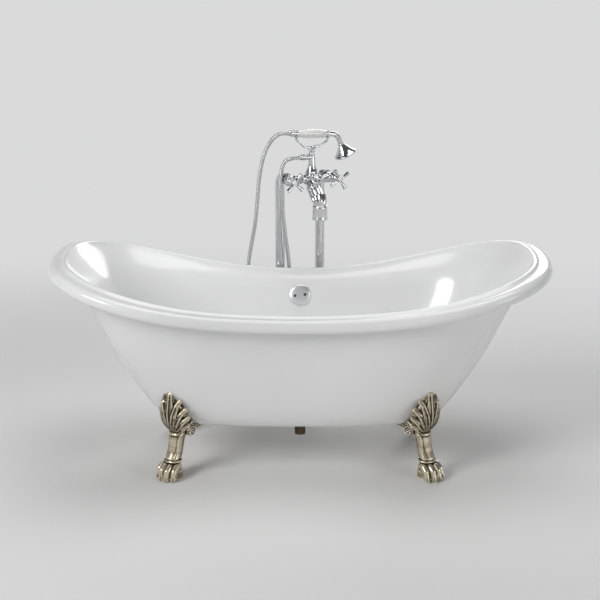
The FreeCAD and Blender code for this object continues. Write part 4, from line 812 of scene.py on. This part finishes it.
SCREW_CIRCLE, SCREW_HOLE = 31, 2.75
dress(turned_brass, "supply_adaptors", "valve_spindle_hot", "valve_spindle_cold", "diverter_spindle")
for name, side in (("left", -1), ("right", 1)):
    right = side * PIPE_SPACING / 2
    bend = [Vector((right, -ELBOW_RADIUS * (1 - math.cos(step * math.pi / 32)),
                    TAP_HEIGHT - ELBOW_RADIUS * (1 - math.sin(step * math.pi / 32)))) for step in range(17)]
    line = [Vector((right, 0, 0.2)), Vector((right, 0, 400))] + bend + [Vector((right, -ELBOW_REACH, TAP_HEIGHT))]
    piece(f"standpipe_{name}_tube", tube(line, PIPE_RADIUS, TAP, 64), "tub", "chrome", polished_chrome,
          f"standpipe_{name}")
    rose = lathe(((PIPE_RADIUS + 0.2, 0, 0), (42, 0, 0), (42, 3.6, 1.2), (38.6, 6, 1.2), (27, 6.2, 2.5), (22.4, 9.8, 3),
                  (21.4, 15), (20.4, 16), (PIPE_RADIUS + 0.2, 16, 0)), on_tap(right, 0, 0), 96)
    rose.transform(TAP.inverted())
    screw_turns = [math.radians(turn) for turn in (30, 150, 270)]
    rose = drilled(rose, [((right + SCREW_CIRCLE * math.cos(turn), SCREW_CIRCLE * math.sin(turn), 0), (0, 0, 1),
                           SCREW_HOLE, 40) for turn in screw_turns])
    rose.transform(TAP)
    piece(f"floor_rose_{name}", rose, "tub", "chrome", polished_chrome, f"floor_flange_{name}")
dress(polished_chrome, "union_nut_left", "union_nut_right")

# ---------------------------------------------------------------- mixer body
# One chromed brass casting: a beaded bar between two ball-shaped valve chambers, a round hub that carries
# the cradle's column, a socket for the spout, and stems back to the standpipes. Leaf gadroons ring it.

BODY_REACH, VALVE_SPACING, HUB_RADIUS, HUB_HEIGHT = 104, 186, 26, 46
SEAT_LENGTH, DIVERTER_LIFT = 26, 12
SPOUT_SLOPE, SPOUT_START = math.radians(48), 34
spout_way = Vector((0, -math.cos(SPOUT_SLOPE), -math.sin(SPOUT_SLOPE)))
parts = [lathe(((0, -23, 0), (18, -23), (23, -18, 3), (26, -12, 3), (25, -4, 6), (25.5, 8, 6), (24, 17, 3), (21.5, 19),
                (24.5, 21), (24.5, 23), (0, 23, 0)), on_tap(0, BODY_REACH, TAP_HEIGHT), 96, 16, 2.0, (-19, 16), 0.5)]
for way, side in ((LEFT, -1), (RIGHT, 1)):
    parts.append(lathe(((0, 0, 0), (14, 0), (14, 25), (18, 26), (18.5, 29), (16, 31), (12, 34, 2), (13, 44, 5),
                        (16.5, 54, 5), (17.5, 60), (15, 62), (15, 66), (18.5, 68), (18.5, 73), (14, 76), (0, 76, 0)),
                       on_tap(0, BODY_REACH, TAP_HEIGHT, way), 96, 12, 1.9, (34, 60), 0.9))
    valve = side * VALVE_SPACING / 2
    stem = side * PIPE_SPACING / 2
    parts.append(lathe(((0, -20.8, 0), (9, -19, 6), (16, -13.5, 6), (20.5, -5, 8), (20.5, 5, 8), (16.8, 12.5, 4),
                        (16, 15, 1), (18.4, 16.6), (18.4, 20), (16.4, 21.4), (16.4, 24.4), (17, 25.2), (17, 26),
                        (0, 26, 0)),
                       on_tap(valve, BODY_REACH, TAP_HEIGHT, FORWARD), 96, 14, 1.7, (-18, 12), 0.6))
    parts.append(lathe(((0, 0, 0), (18, 0), (18, 3), (16, 5), (16, 20), (19, 22), (19, 26), (16, 30), (14, 44, 0),
                        (0, 44, 0)),
                       on_tap(stem, ELBOW_REACH + 0.3, TAP_HEIGHT, FORWARD), 64))
parts.append(lathe(((0, 0, 0), (10.5, 0), (10.5, 26), (12, 27), (12, 29), (10.2, 30), (0, 30, 0)),
                   on_tap(0, BODY_REACH, TAP_HEIGHT + DIVERTER_LIFT, FORWARD), 64))
parts.append(lathe(((0, 0, 0), (20, 0), (26, 16, 5), (26.4, 24), (29, 27), (29, 31), (26, 33.6), (0, 33.8, 0)),
                   on_tap(0, BODY_REACH, TAP_HEIGHT - 4, tuple(spout_way)), 96))
piece("mixer_casting", joined(parts), "tub", "chrome", polished_chrome, "mixer_body", crease=50)

# ---------------------------------------------------------------- valve bonnets
# A turned bonnet of chromed brass screws onto each valve's neck. It closes the valve, and guides the brass
# spindle that the handle turns.

for name, side in (("hot", -1), ("cold", 1)):
    bonnet = lathe(((4.6, 0, 0), (15, 0), (15, 3.4), (13.4, 5), (12.4, 7.4, 2), (14, 9), (13.4, 10.6), (9.6, 13, 2),
                    (9, 16), (4.6, 16, 0)),
                   on_tap(side * VALVE_SPACING / 2, BODY_REACH + SEAT_LENGTH, TAP_HEIGHT, FORWARD))
    piece(f"bonnet_{name}", bonnet, "tub", "chrome", polished_chrome, f"valve_bonnet_{name}")

# ---------------------------------------------------------------- cross handles
# Each valve turns with a cast chrome cross of four arms that flare to flat ends, with a white ceramic
# button pressed into its hub.

HANDLE_REACH, HANDLE_DEPTH = 42, 14


def ceramic(name):
    """Glazed white ceramic with a soft drift of tone under the glaze."""
    material = bpy.data.materials.new(name)
    tree, shader, add = nodes_of(material)
    place = add("ShaderNodeTexCoord")
    drift = add("ShaderNodeTexNoise", Scale=30.0, Detail=3.0)
    tree.links.new(place.outputs["Object"], drift.inputs["Vector"])
    tone = ramp(tree, add, drift.outputs["Fac"], ((0.3, (0.84, 0.84, 0.825)), (0.7, (0.89, 0.89, 0.88))))
    tree.links.new(tone, shader.inputs["Base Color"])
    gloss = add("ShaderNodeMapRange", To_Min=0.1, To_Max=0.18)
    tree.links.new(drift.outputs["Fac"], gloss.inputs["Value"])
    tree.links.new(gloss.outputs["Result"], shader.inputs["Roughness"])
    shader.inputs["Coat Weight"].default_value = 0.7
    return material


white_ceramic = ceramic("white_ceramic")
for name, side, arm_turn in (("hot", -1, 47), ("cold", 1, 31)):
    place = on_tap(side * VALVE_SPACING / 2, BODY_REACH + SEAT_LENGTH + 16.5, TAP_HEIGHT, FORWARD)
    parts = [lathe(((4.6, 0, 0), (9, 0), (11, 2.5, 2), (11, 9, 2), (10.6, 12), (9.2, 13), (8.8, 14), (4.6, 14, 0)),
                   place),
             lathe(((0, 12, 0), (8.7, 12, 0), (8.7, 13.8, 0.5), (0, 13.8, 0)), place)]
    for quarter in range(4):
        out = math.radians(arm_turn + 90 * quarter)
        way = Vector((math.cos(out), math.sin(out), 0))
        arm_place = place @ Matrix.Translation(Vector((0, 0, HANDLE_DEPTH / 2)) * MM) @ facing(way)
        parts.append(lathe(((0, 3, 0), (6.0, 3, 0), (4.9, 13, 4), (4.9, 18, 6), (6.2, 28, 6), (7.4, 36, 3),
                            (7.8, 40, 1), (7.2, HANDLE_REACH, 0.7), (5.4, HANDLE_REACH, 0.4),
                            (4.8, HANDLE_REACH - 0.8, 0.4), (0, HANDLE_REACH - 0.8, 0)), arm_place, 40))
    piece(f"cross_{name}", joined(parts), f"{name}_valve", "chrome", polished_chrome, f"cross_handle_{name}")
    button = lathe(((0, 0, 0), (8, 0, 0), (8, 1.4, 0.8), (5.2, 2.8, 2.5), (0, 3.2, 0)),
                   place @ Matrix.Translation((0, 0, HANDLE_DEPTH * MM)))
    piece(f"button_{name}", button, f"{name}_valve", "ceramic", white_ceramic, f"handle_button_{name}")

# ---------------------------------------------------------------- diverter knob
# A small fluted knob of chromed brass is pressed on the diverter's spindle, on the front of the hub. Turned,
# it sends the water to the spout or to the shower.

knob = lathe(((4.6, 0.5, 0), (8, 0.5), (10, 3), (10, 11, 1.5), (6.5, 14.6, 2), (0, 15.4, 0)),
             on_tap(0, BODY_REACH + HUB_RADIUS + 4, TAP_HEIGHT + DIVERTER_LIFT, FORWARD), 96, 12, 1.6, (2.5, 13), 0)
piece("diverter_grip", knob, "diverter", "chrome", polished_chrome, "diverter_knob")

# ---------------------------------------------------------------- spout
# The cast chrome spout curves down from the hub. Long flutes run along it and draw in at its end, where a
# plain collar is screwed on with a plastic aerator inside.

SPOUT_REACH, SPOUT_END, COLLAR_HEIGHT, AERATOR = 175, 869, 51, 17
spout_first = Vector((0, -BODY_REACH, TAP_HEIGHT - 4)) + spout_way * SPOUT_START
spout_last = Vector((0, -SPOUT_REACH, SPOUT_END))
pull = 0.42 * (spout_last - spout_first).length
handles = (spout_first, spout_first + spout_way * pull, spout_last + Vector((0, 0, pull)), spout_last)
SPOUT_STEPS, SPOUT_AROUND, SPOUT_FLUTES = 72, 144, 9
side = Vector(RIGHT)
rings = []
for step in range(SPOUT_STEPS + 1):
    t = step / SPOUT_STEPS
    point = (handles[0] * (1 - t) ** 3 + handles[1] * 3 * t * (1 - t) ** 2 + handles[2] * 3 * t * t * (1 - t)
             + handles[3] * t ** 3)
    way = ((handles[1] - handles[0]) * (1 - t) ** 2 + (handles[2] - handles[1]) * 2 * t * (1 - t)
           + (handles[3] - handles[2]) * t * t).normalized()
    over = way.cross(side)
    radius = np.interp(t, (0, 0.04, 0.1, 0.3, 0.6, 0.85, 0.93, 1), (27, 28, 26.5, 28.5, 28, 25, 23.5, 23.5))
    fade = np.interp(t, (0.04, 0.14, 0.8, 0.95), (0, 1, 1, 0))
    ring = []
    for k in range(SPOUT_AROUND):
        turn = 2 * math.pi * k / SPOUT_AROUND
        flute = abs(math.sin(SPOUT_FLUTES / 2 * turn + 0.35 * math.sin(2 * turn)))
        reach = radius - 4.2 * fade * (1 - flute) ** 1.3 + 0.8 * fade * flute
        ring.append(point + (side * math.cos(turn) + over * math.sin(turn)) * reach)
    rings.append(ring)
spout_mesh = close_and_face_out(grid_mesh("spout", np.array(rings) * MM, closed=False))
spout_mesh.transform(TAP)
lip = lathe(((0, -1.5, 0), (26, -1.5), (28.6, 0.5, 1.4), (26, 2.5), (0, 2.5, 0)),
            on_tap(0, SPOUT_REACH, SPOUT_END), 96)
piece("spout_casting", joined([spout_mesh, lip]), "tub", "chrome", polished_chrome, "spout", crease=60)
collar = lathe(((19, 0, 0), (26, 0), (27.4, 4, 2), (27.6, 40, 3), (29, 45, 1.5), (29, 49), (27.4, COLLAR_HEIGHT, 0.8),
                (AERATOR + 0.2, COLLAR_HEIGHT, 0.5), (AERATOR + 0.2, 39, 0), (19, 39, 0)),
               on_tap(0, SPOUT_REACH, SPOUT_END - 0.1, DOWN), 96)
piece("spout_sleeve", collar, "tub", "chrome", polished_chrome, "spout_collar")
dress(dark_plastic, "spout_aerator")

# ---------------------------------------------------------------- cradle
# A turned chrome column stands on the hub, with the shower outlet in its side. On top a cast yoke spreads
# two arms to forks, in which the handset's ferrules lie.

COLUMN_FOOT, COLUMN_TOP, OUTLET_HEIGHT, OUTLET_REACH = TAP_HEIGHT + HUB_HEIGHT / 2, 1072, 1042, 27
column = lathe(((0, 0, 0), (23, 0), (24, 2, 0.8), (24, 4.6, 0.8), (21.5, 6.5), (22, 8, 1), (18.5, 15, 8),
                (14.5, 30, 12), (12.8, 46, 8), (11.6, 60, 4), (11, 68, 1), (13.2, 70), (13.2, 73), (11, 75, 1),
                (11, 82, 2), (13.5, 84.5), (13.5, 91, 0), (0, 91, 0)), on_tap(0, BODY_REACH, COLUMN_FOOT), 96)
outlet = lathe(((0, 0, 0), (9, 0, 0), (9, 14, 1), (10.6, 16), (10.6, 20), (9, 22), (9, OUTLET_REACH),
                (0, OUTLET_REACH, 0)),
               on_tap(0, BODY_REACH, OUTLET_HEIGHT, LEFT), 48)
piece("cradle_stem", joined([column, outlet]), "tub", "chrome", polished_chrome, "cradle_column")

HANDSET_HEIGHT, HANDSET_TILT, YOKE_SPAN, FERRULE_RADIUS, FORK_WALL = 1128, math.radians(4), 64, 13, 3.5
FORK_TURNS, FORK_STEPS = (187, 353), 40
middle = Vector((0, -BODY_REACH, HANDSET_HEIGHT))
HANDSET = TAP @ Matrix.Translation(middle * MM) @ Matrix.Rotation(HANDSET_TILT, 4, "Y")
along = Vector((math.cos(HANDSET_TILT), 0, -math.sin(HANDSET_TILT)))
up = Vector((-along.z, 0, along.x))
back = Vector((0, 1, 0))
parts = [lathe(((0, 0.2, 0), (13.5, 0.2, 0), (13.5, 3, 1), (9.5, 9, 4), (0, 11, 0)),
               on_tap(0, BODY_REACH, COLUMN_TOP), 64)]
for side in (-1, 1):
    fork = middle + along * (side * YOKE_SPAN)
    low = fork - Vector((0, 0, FERRULE_RADIUS + FORK_WALL + 0.3))
    corners = ((side * 3, -BODY_REACH, COLUMN_TOP + 5), (side * 13, -BODY_REACH, COLUMN_TOP + 7),
               (side * 30, -BODY_REACH, COLUMN_TOP + 9.5), (side * 46, -BODY_REACH, low.z - 20),
               (low.x - side * 3.5, -BODY_REACH, low.z - 9), (low.x, -BODY_REACH, low.z + 0.5))
    line = smooth_line(corners)
    radii = np.interp(np.linspace(0, 1, len(line)), (0, 0.25, 0.7, 1), (6, 4.8, 4.0, 4.6))
    parts.append(tube(line, list(radii), TAP, 24))
    hoop = []
    for step in range(FORK_STEPS + 1):
        turn = math.radians(FORK_TURNS[0] + (FORK_TURNS[1] - FORK_TURNS[0]) * step / FORK_STEPS)
        ring = []
        for radius, shift in ((0.3, -4.5), (0.3, 4.5), (2.6, 4.5), (3.5, 3), (3.5, -3), (2.6, -4.5)):
            reach = FERRULE_RADIUS + radius
            ring.append(fork + along * shift + back * (math.cos(turn) * reach) + up * (math.sin(turn) * reach))
        hoop.append(ring)
    cup = close_and_face_out(grid_mesh("cup", np.array(hoop) * MM, closed=False))
    cup.transform(TAP)
    parts.append(cup)
    # a small bead on each end of the fork
    for end in FORK_TURNS:
        turn = math.radians(end)
        knob_at = fork + Vector((0, math.cos(turn), math.sin(turn))) * 15
        parts.append(lathe(((0, -2.4, 0), (1.6, -1.9, 1), (2.4, 0, 1), (1.6, 1.9, 1), (0, 2.4, 0)),
                           TAP @ Matrix.Translation(knob_at * MM), 20))
piece("cradle_arms", joined(parts), "tub", "chrome", polished_chrome, "cradle_yoke")

# ---------------------------------------------------------------- handset
# A glazed white ceramic grip is held between two chrome ferrules with beaded bands. A bent neck carries a
# bell-shaped chrome head, whose spray plate is full of small rubber nozzles.

GRIP_LENGTH, FERRULE_LENGTH, NUT_LENGTH = 114, 14, 25


def on_handset(x, way=RIGHT):
    """A place on the handset's own axis."""
    return HANDSET @ Matrix.Translation((x * MM, 0, 0)) @ facing(way)


def bead_circle():
    """A Geometry Nodes tree that sets small balls in a circle, and its inputs' identifiers by name."""
    tree = bpy.data.node_groups.new("bead circle", "GeometryNodeTree")
    sockets = {}
    for label, kind in (("Count", "Int"), ("Circle", "Float"), ("Bead", "Float"), ("Finish", "Material")):
        made = tree.interface.new_socket(name=label, in_out="INPUT", socket_type=f"NodeSocket{kind}")
        sockets[label] = made.identifier
    tree.interface.new_socket(name="Geometry", in_out="OUTPUT", socket_type="NodeSocketGeometry")
    entry = tree.nodes.new("NodeGroupInput")
    leave = tree.nodes.new("NodeGroupOutput")
    circle = tree.nodes.new("GeometryNodeMeshCircle")
    ball = tree.nodes.new("GeometryNodeMeshUVSphere")
    ball.inputs["Segments"].default_value = 12
    ball.inputs["Rings"].default_value = 8
    set_out = tree.nodes.new("GeometryNodeInstanceOnPoints")
    realize = tree.nodes.new("GeometryNodeRealizeInstances")
    finish = tree.nodes.new("GeometryNodeSetMaterial")
    for start, output, end, target in (
            (entry, "Count", circle, "Vertices"), (entry, "Circle", circle, "Radius"), (entry, "Bead", ball, "Radius"),
            (circle, "Mesh", set_out, "Points"), (ball, "Mesh", set_out, "Instance"),
            (set_out, "Instances", realize, "Geometry"), (realize, "Geometry", finish, "Geometry"),
            (entry, "Finish", finish, "Material"), (finish, "Geometry", leave, "Geometry")):
        tree.links.new(start.outputs[output], end.inputs[target])
    return tree, sockets


bead_tree, bead_inputs = bead_circle()


def beads(circles, size, place, material):
    """Small beads in circles round local Z: circles are (count, radius, height) in millimetres."""
    meshes = []
    for count, radius, height in circles:
        carrier = bpy.data.objects.new("beads", bpy.data.meshes.new("beads"))
        bpy.context.scene.collection.objects.link(carrier)
        spread = carrier.modifiers.new("beads", "NODES")
        spread.node_group = bead_tree
        for label, value in (("Count", count), ("Circle", radius * MM), ("Bead", size * MM), ("Finish", material)):
            spread[bead_inputs[label]] = value
        carrier.update_tag()
        made = bpy.data.meshes.new_from_object(carrier.evaluated_get(bpy.context.evaluated_depsgraph_get()))
        bpy.data.objects.remove(carrier)
        made.transform(place @ Matrix.Translation((0, 0, height * MM)))
        meshes.append(made)
    return joined(meshes)


half = GRIP_LENGTH / 2
grip = lathe(((0, 0, 0), (12.5, 0, 0.6), (14.1, 8, 10), (15.6, 23, 14), (16.5, 43, 14), (16.5, 71, 14), (15.6, 91, 14),
              (14.1, 106, 10), (12.5, 114, 0.6), (0, 114, 0)), on_handset(-half), 96)
piece("ceramic_grip", grip, "handset", "ceramic", white_ceramic, "handset_grip")
FERRULE = ((0, 0, 0), (13, 0), (13, 2.4), (11.6, 3.4), (11.6, 10.6), (13, 11.6), (13, 14), (0, 14, 0))
for name, start in (("left", -half - FERRULE_LENGTH), ("right", half)):
    band = lathe(FERRULE, on_handset(start), 72, fillet=0.5)
    dots = beads(((22, 11.5, 5.2), (22, 11.5, 8.8)), 1.45, on_handset(start), polished_chrome)
    piece(f"ferrule_{name}_ring", joined([band, dots]), "handset", "chrome", polished_chrome, f"ferrule_{name}")

NUT = ((4.5, 0, 0), (11.6, 0), (11.6, 3), (10.2, 4), (10.2, 12), (11.6, 13), (11.6, 15.4), (9.4, 18, 2), (8.4, 25),
       (4.5, 25, 0))
# a nut on each end of the hose; the mixer's is a little slimmer
SLIMMER = 0.6
for name, body, node, nut_place, slim in (
        ("upper", "handset", "hose_nut_handset", on_handset(-half - FERRULE_LENGTH, LEFT), 0),
        ("lower", "tub", "hose_nut_mixer", on_tap(-OUTLET_REACH, BODY_REACH, OUTLET_HEIGHT, LEFT), SLIMMER)):
    profile = [(radius - (slim if radius > 9 else 0), *rest) for radius, *rest in NUT]
    dots = beads(((20, 10.2 - slim, 6.2), (20, 10.2 - slim, 9.9)), 1.5, nut_place, polished_chrome)
    piece(f"hose_nut_{name}", joined([lathe(profile, nut_place, 64, fillet=0.5), dots]), body, "chrome",
          polished_chrome, node)

NECK_REACH, NECK_DROP, NECK_RADIUS, HEAD_TURN = 122, 34, 9.5, math.radians(29)
head_way = Vector((math.sin(HEAD_TURN), 0, -math.cos(HEAD_TURN)))
neck_start = Vector((half + FERRULE_LENGTH, 0, 0))
apex = Vector((NECK_REACH, 0, -NECK_DROP))
corner = apex - head_way * (NECK_DROP / math.cos(HEAD_TURN))
line = [neck_start + (corner - neck_start) * t for t in (0, 0.25)]
for step in range(13):
    t = step / 12
    line.append(neck_start.lerp(corner, 0.4) * (1 - t) ** 2 + corner * 2 * t * (1 - t)
                + corner.lerp(apex, 0.62) * t * t)
line.append(apex + head_way * 2)
neck = tube(line, NECK_RADIUS, HANDSET, 40)
neck_collar = lathe(((0, 0, 0), (11, 0), (11, 2.6), (0, 2.6, 0)), on_handset(half + FERRULE_LENGTH), 48)
piece("handset_bend", joined([neck, neck_collar]), "handset", "chrome", polished_chrome, "handset_neck")
head_place = HANDSET @ Matrix.Translation(apex * MM) @ facing(head_way)
bell = lathe(((0, 0, 0), (11, 0), (12.4, 2.5), (11, 5), (13.5, 10, 4), (20, 19, 7), (29, 31, 8), (36.5, 39.5, 5),
              (40, 42.5, 2), (42, 44.5, 0.8), (42, 48.6, 0.8), (40.6, 49.4, 0.5), (38, 49.2, 0.5), (38, 44, 0),
              (0, 44, 0)), head_place, 120)
piece("shower_bell", bell, "handset", "chrome", polished_chrome, "shower_head")
plate = lathe(((0, 44.2, 0), (37.8, 44.2, 0), (37.8, 48.4, 0.8), (26, 50.6, 6), (0, 51.6, 0)), head_place, 96)
satin = worn_metal("spray_plate_metal", (0.55, 0.555, 0.56), (0.68, 0.685, 0.69), 0.16, 0.26, 70.0, 0.02)
nozzles = beads(((6, 6, 51.3), (12, 12, 51.1), (18, 18, 50.8), (24, 24, 50.2), (30, 30, 49.6), (34, 34.5, 48.9)),
                1.35, head_place, black_rubber)
piece("spray_face", plate, "handset", "chrome", satin, "spray_plate")
piece("spray_nozzles", nozzles, "handset", "rubber", black_rubber)

# ---------------------------------------------------------------- shower hose
# The hose is a double-wound strip of polished metal over a rubber lining. It hangs from the mixer's outlet
# in front of the left standpipe, loops behind the rim and comes up to the handset.

HOSE_RADIUS, HOSE_TURNS, HOSE_RIB, NUT_GAP = 7.5, 300, 0.75, 0.3
HOSE_ROUTE = (
    (-58, 301, 1032), (-72, 300, 988), (-72, 306, 918), (-65, 325, 838), (-56, 348, 748), (-46, 373, 664),
    (-39, 388, 590), (-41, 385, 522), (-58, 371, 464), (-99, 362, 437), (-146, 368, 446), (-180, 383, 489),
    (-198, 399, 553), (-199, 401, 622), (-185, 382, 700), (-170, 358, 778), (-161, 339, 856), (-156, 325, 930),
    (-147, 312, 1000), (-130, 302, 1066), (-101, 292, 1118))
hose_start = TAP @ (Vector((-OUTLET_REACH - NUT_LENGTH - NUT_GAP, -BODY_REACH, OUTLET_HEIGHT)) * MM)
hose_end = HANDSET @ (Vector((-half - FERRULE_LENGTH - NUT_LENGTH - NUT_GAP, 0, 0)) * MM)
start_way = TAP.to_3x3() @ Vector(LEFT)
end_way = HANDSET.to_3x3() @ Vector(LEFT)
STRAIGHT = (0.015, 0.03)
corners = [hose_start] + [hose_start + start_way * reach for reach in STRAIGHT]
corners += [Vector(point) * MM for point in HOSE_ROUTE]
corners += [hose_end + end_way * reach for reach in STRAIGHT[::-1]] + [hose_end]
curve = bpy.data.curves.new("route", "CURVE")
curve.dimensions = "3D"
strand = curve.splines.new("NURBS")
strand.points.add(len(corners) - 1)
for point, corner in zip(strand.points, corners):
    point.co = (*corner, 1)
strand.order_u = 3
strand.use_endpoint_u = True
strand.resolution_u = 24
carrier = bpy.data.objects.new("route", curve)
bpy.context.scene.collection.objects.link(carrier)
route_mesh = bpy.data.meshes.new_from_object(carrier.evaluated_get(bpy.context.evaluated_depsgraph_get()))
route = np.array([vertex.co for vertex in route_mesh.vertices])
bpy.data.objects.remove(carrier)
marks = np.concatenate([[0], np.cumsum(np.linalg.norm(np.diff(route, axis=0), axis=1))])
hose_length = float(marks[-1])


def along_hose(distances):
    """Points of the hose's centre line at distances from its start."""
    return np.stack([np.interp(distances, marks, route[:, axis]) for axis in range(3)], 1)


PER_TURN, HOSE_AROUND = 8, 20
hose_marks = np.linspace(0, hose_length, HOSE_TURNS * PER_TURN + 1)
phase = np.arange(len(hose_marks)) % PER_TURN
swell = np.array([0, 0.55, 0.92, 1, 1, 0.92, 0.55, 0])[phase]
hose_radii = HOSE_RADIUS - HOSE_RIB * (1 - swell)
hose_mesh = tube(list(along_hose(hose_marks) / MM), list(hose_radii), Matrix.Identity(4), HOSE_AROUND)


def hose_metal():
    """Polished strip, with painted shade darkening the grooves between its turns."""
    material = bpy.data.materials.new("hose_strip")
    tree, shader, add = nodes_of(material)
    place = add("ShaderNodeTexCoord")
    # painted shade: the metal's colour is darkened by how deep each point lies in a groove
    groove_shade = add("ShaderNodeAttribute", attribute_name="groove_shade")
    tone = ramp(tree, add, groove_shade.outputs["Fac"], ((0.1, (0.80, 0.81, 0.82)), (0.75, (0.20, 0.20, 0.21))))
    tree.links.new(tone, shader.inputs["Base Color"])
    wipe = add("ShaderNodeTexNoise", Scale=90.0)
    tree.links.new(place.outputs["Object"], wipe.inputs["Vector"])
    gloss = add("ShaderNodeMapRange", To_Min=0.12, To_Max=0.24)
    tree.links.new(wipe.outputs["Fac"], gloss.inputs["Value"])
    tree.links.new(gloss.outputs["Result"], shader.inputs["Roughness"])
    shader.inputs["Metallic"].default_value = 1
    return material


hose_mesh.name = "wound_hose"
hose_mesh.shade_smooth()
hose_mesh.materials.append(hose_metal())
# painted shade: each ring's colour is darker the deeper it lies in a groove between the strip's turns
painted_groove_shades = np.zeros(len(hose_mesh.vertices), np.float32)
ring_shade = np.repeat(1 - swell, HOSE_AROUND).astype(np.float32)
painted_groove_shades[:min(len(ring_shade), len(painted_groove_shades))] = ring_shade[:len(painted_groove_shades)]
hose_mesh.attributes.new("groove_shade", "FLOAT", "POINT").data.foreach_set("value", painted_groove_shades)
hose = bpy.data.objects.new("wound_hose", hose_mesh)
bpy.context.scene.collection.objects.link(hose)
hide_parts("shower_hose")
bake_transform(hose)

# ---------------------------------------------------------------- stage
# The object stands on a plain pale floor that runs into a pale background, under four soft studio lamps.
# The camera is the one fitted to the photograph.


def seen_directly(add, tree):
    """1 for camera, glossy and transmission rays, 0 for the rays that light the object."""
    path = add("ShaderNodeLightPath")
    total = path.outputs["Is Camera Ray"]
    for name in ("Is Glossy Ray", "Is Transmission Ray"):
        both = add("ShaderNodeMath", operation="MAXIMUM")
        tree.links.new(total, both.inputs[0])
        tree.links.new(path.outputs[name], both.inputs[1])
        total = both.outputs[0]
    return total


def pale_floor():
    """Matte pale floor that takes the object's shadow and fades into an even pale backdrop."""
    material = bpy.data.materials.new("pale_floor")
    tree, shader, add = nodes_of(material)
    place = add("ShaderNodeTexCoord")
    drift = add("ShaderNodeTexNoise", Scale=0.8, Detail=3.0)
    tree.links.new(place.outputs["Object"], drift.inputs["Vector"])
    tone = ramp(tree, add, drift.outputs["Fac"], ((0.3, (0.85, 0.85, 0.845)), (0.7, (0.87, 0.87, 0.865))))
    tree.links.new(tone, shader.inputs["Base Color"])
    shader.inputs["Roughness"].default_value = 0.8
    glow = add("ShaderNodeEmission", Color=(0.70, 0.70, 0.705, 1), Strength=1.0)
    distance = add("ShaderNodeVectorMath", operation="LENGTH")
    tree.links.new(place.outputs["Object"], distance.inputs[0])
    away = add("ShaderNodeMapRange", From_Min=0.9, From_Max=3.6, interpolation_type="SMOOTHSTEP")
    tree.links.new(distance.outputs["Value"], away.inputs["Value"])
    share = add("ShaderNodeMath", operation="MULTIPLY")
    tree.links.new(away.outputs["Result"], share.inputs[0])
    tree.links.new(seen_directly(add, tree), share.inputs[1])
    mixed = add("ShaderNodeMixShader")
    tree.links.new(share.outputs[0], mixed.inputs["Fac"])
    tree.links.new(shader.outputs["BSDF"], mixed.inputs[1])
    tree.links.new(glow.outputs["Emission"], mixed.inputs[2])
    tree.links.new(mixed.outputs["Shader"], tree.nodes["Material Output"].inputs["Surface"])
    return material


floor_work = bmesh.new()
bmesh.ops.create_grid(floor_work, x_segments=1, y_segments=1, size=60)
floor_mesh = bpy.data.meshes.new("floor")
floor_work.to_mesh(floor_mesh)
floor_work.free()
floor_mesh.materials.append(pale_floor())
floor = bpy.data.objects.new("floor", floor_mesh)
bpy.context.scene.collection.objects.link(floor)

LAMPS = (("key", (-3.0, -2.8, 3.0), 2.2, 104), ("fill", (3.8, -3.0, 1.8), 2.2, 34),
         ("top", (0.3, 0.3, 4.0), 2.8, 50), ("back", (1.2, 3.6, 2.4), 2.2, 40))
for name, place, across, power in LAMPS:
    lamp = bpy.data.lights.new(name, "AREA")
    lamp.shape = "DISK"
    lamp.size = across
    lamp.energy = power
    lamp_object = bpy.data.objects.new(name, lamp)
    lamp_object.location = place
    lamp_object.rotation_euler = (Vector((0, 0, 0.5)) - Vector(place)).to_track_quat("-Z", "Y").to_euler()
    bpy.context.scene.collection.objects.link(lamp_object)

world = bpy.data.worlds.new("studio")
bpy.context.scene.world = world
world.use_nodes = True
sky = world.node_tree
backdrop = sky.nodes["Background"]


def sky_node(kind, **values):
    """A node of the world's tree."""
    node = sky.nodes.new(kind)
    for name, value in values.items():
        setattr(node, name, value)
    return node


way = sky_node("ShaderNodeTexCoord")
parts_of_way = sky_node("ShaderNodeSeparateXYZ")
sky.links.new(way.outputs["Generated"], parts_of_way.inputs["Vector"])
tone = ramp(sky, sky_node, parts_of_way.outputs["Z"], (
    (0.0, (0.70, 0.70, 0.705)), (0.10, (0.60, 0.60, 0.605)), (0.35, (0.16, 0.16, 0.165)),
    (1.0, (0.07, 0.07, 0.075))))
sky.links.new(tone, backdrop.inputs["Color"])
level = sky_node("ShaderNodeMapRange")
LIGHT_STRENGTH, SEEN_STRENGTH = 0.62, 1.0
level.inputs["To Min"].default_value = LIGHT_STRENGTH
level.inputs["To Max"].default_value = SEEN_STRENGTH
sky.links.new(seen_directly(sky_node, sky), level.inputs["Value"])
sky.links.new(level.outputs["Result"], backdrop.inputs["Strength"])

FOCAL_PIXELS, PHOTO_PIXELS, SENSOR = 1332.71, 600, 36
CAMERA_PLACE, CAMERA_DIP = (0, -4.57291, 1.84869), 0.269773
camera_data = bpy.data.cameras.new("camera")
camera_data.sensor_width = SENSOR
camera_data.lens = FOCAL_PIXELS / PHOTO_PIXELS * SENSOR
camera = bpy.data.objects.new("camera", camera_data)
camera.location = CAMERA_PLACE
camera.rotation_euler = (math.pi / 2 - CAMERA_DIP, 0, 0)
bpy.context.scene.collection.objects.link(camera)
bpy.context.scene.camera = camera
bpy.context.scene.view_settings.view_transform = "Standard"
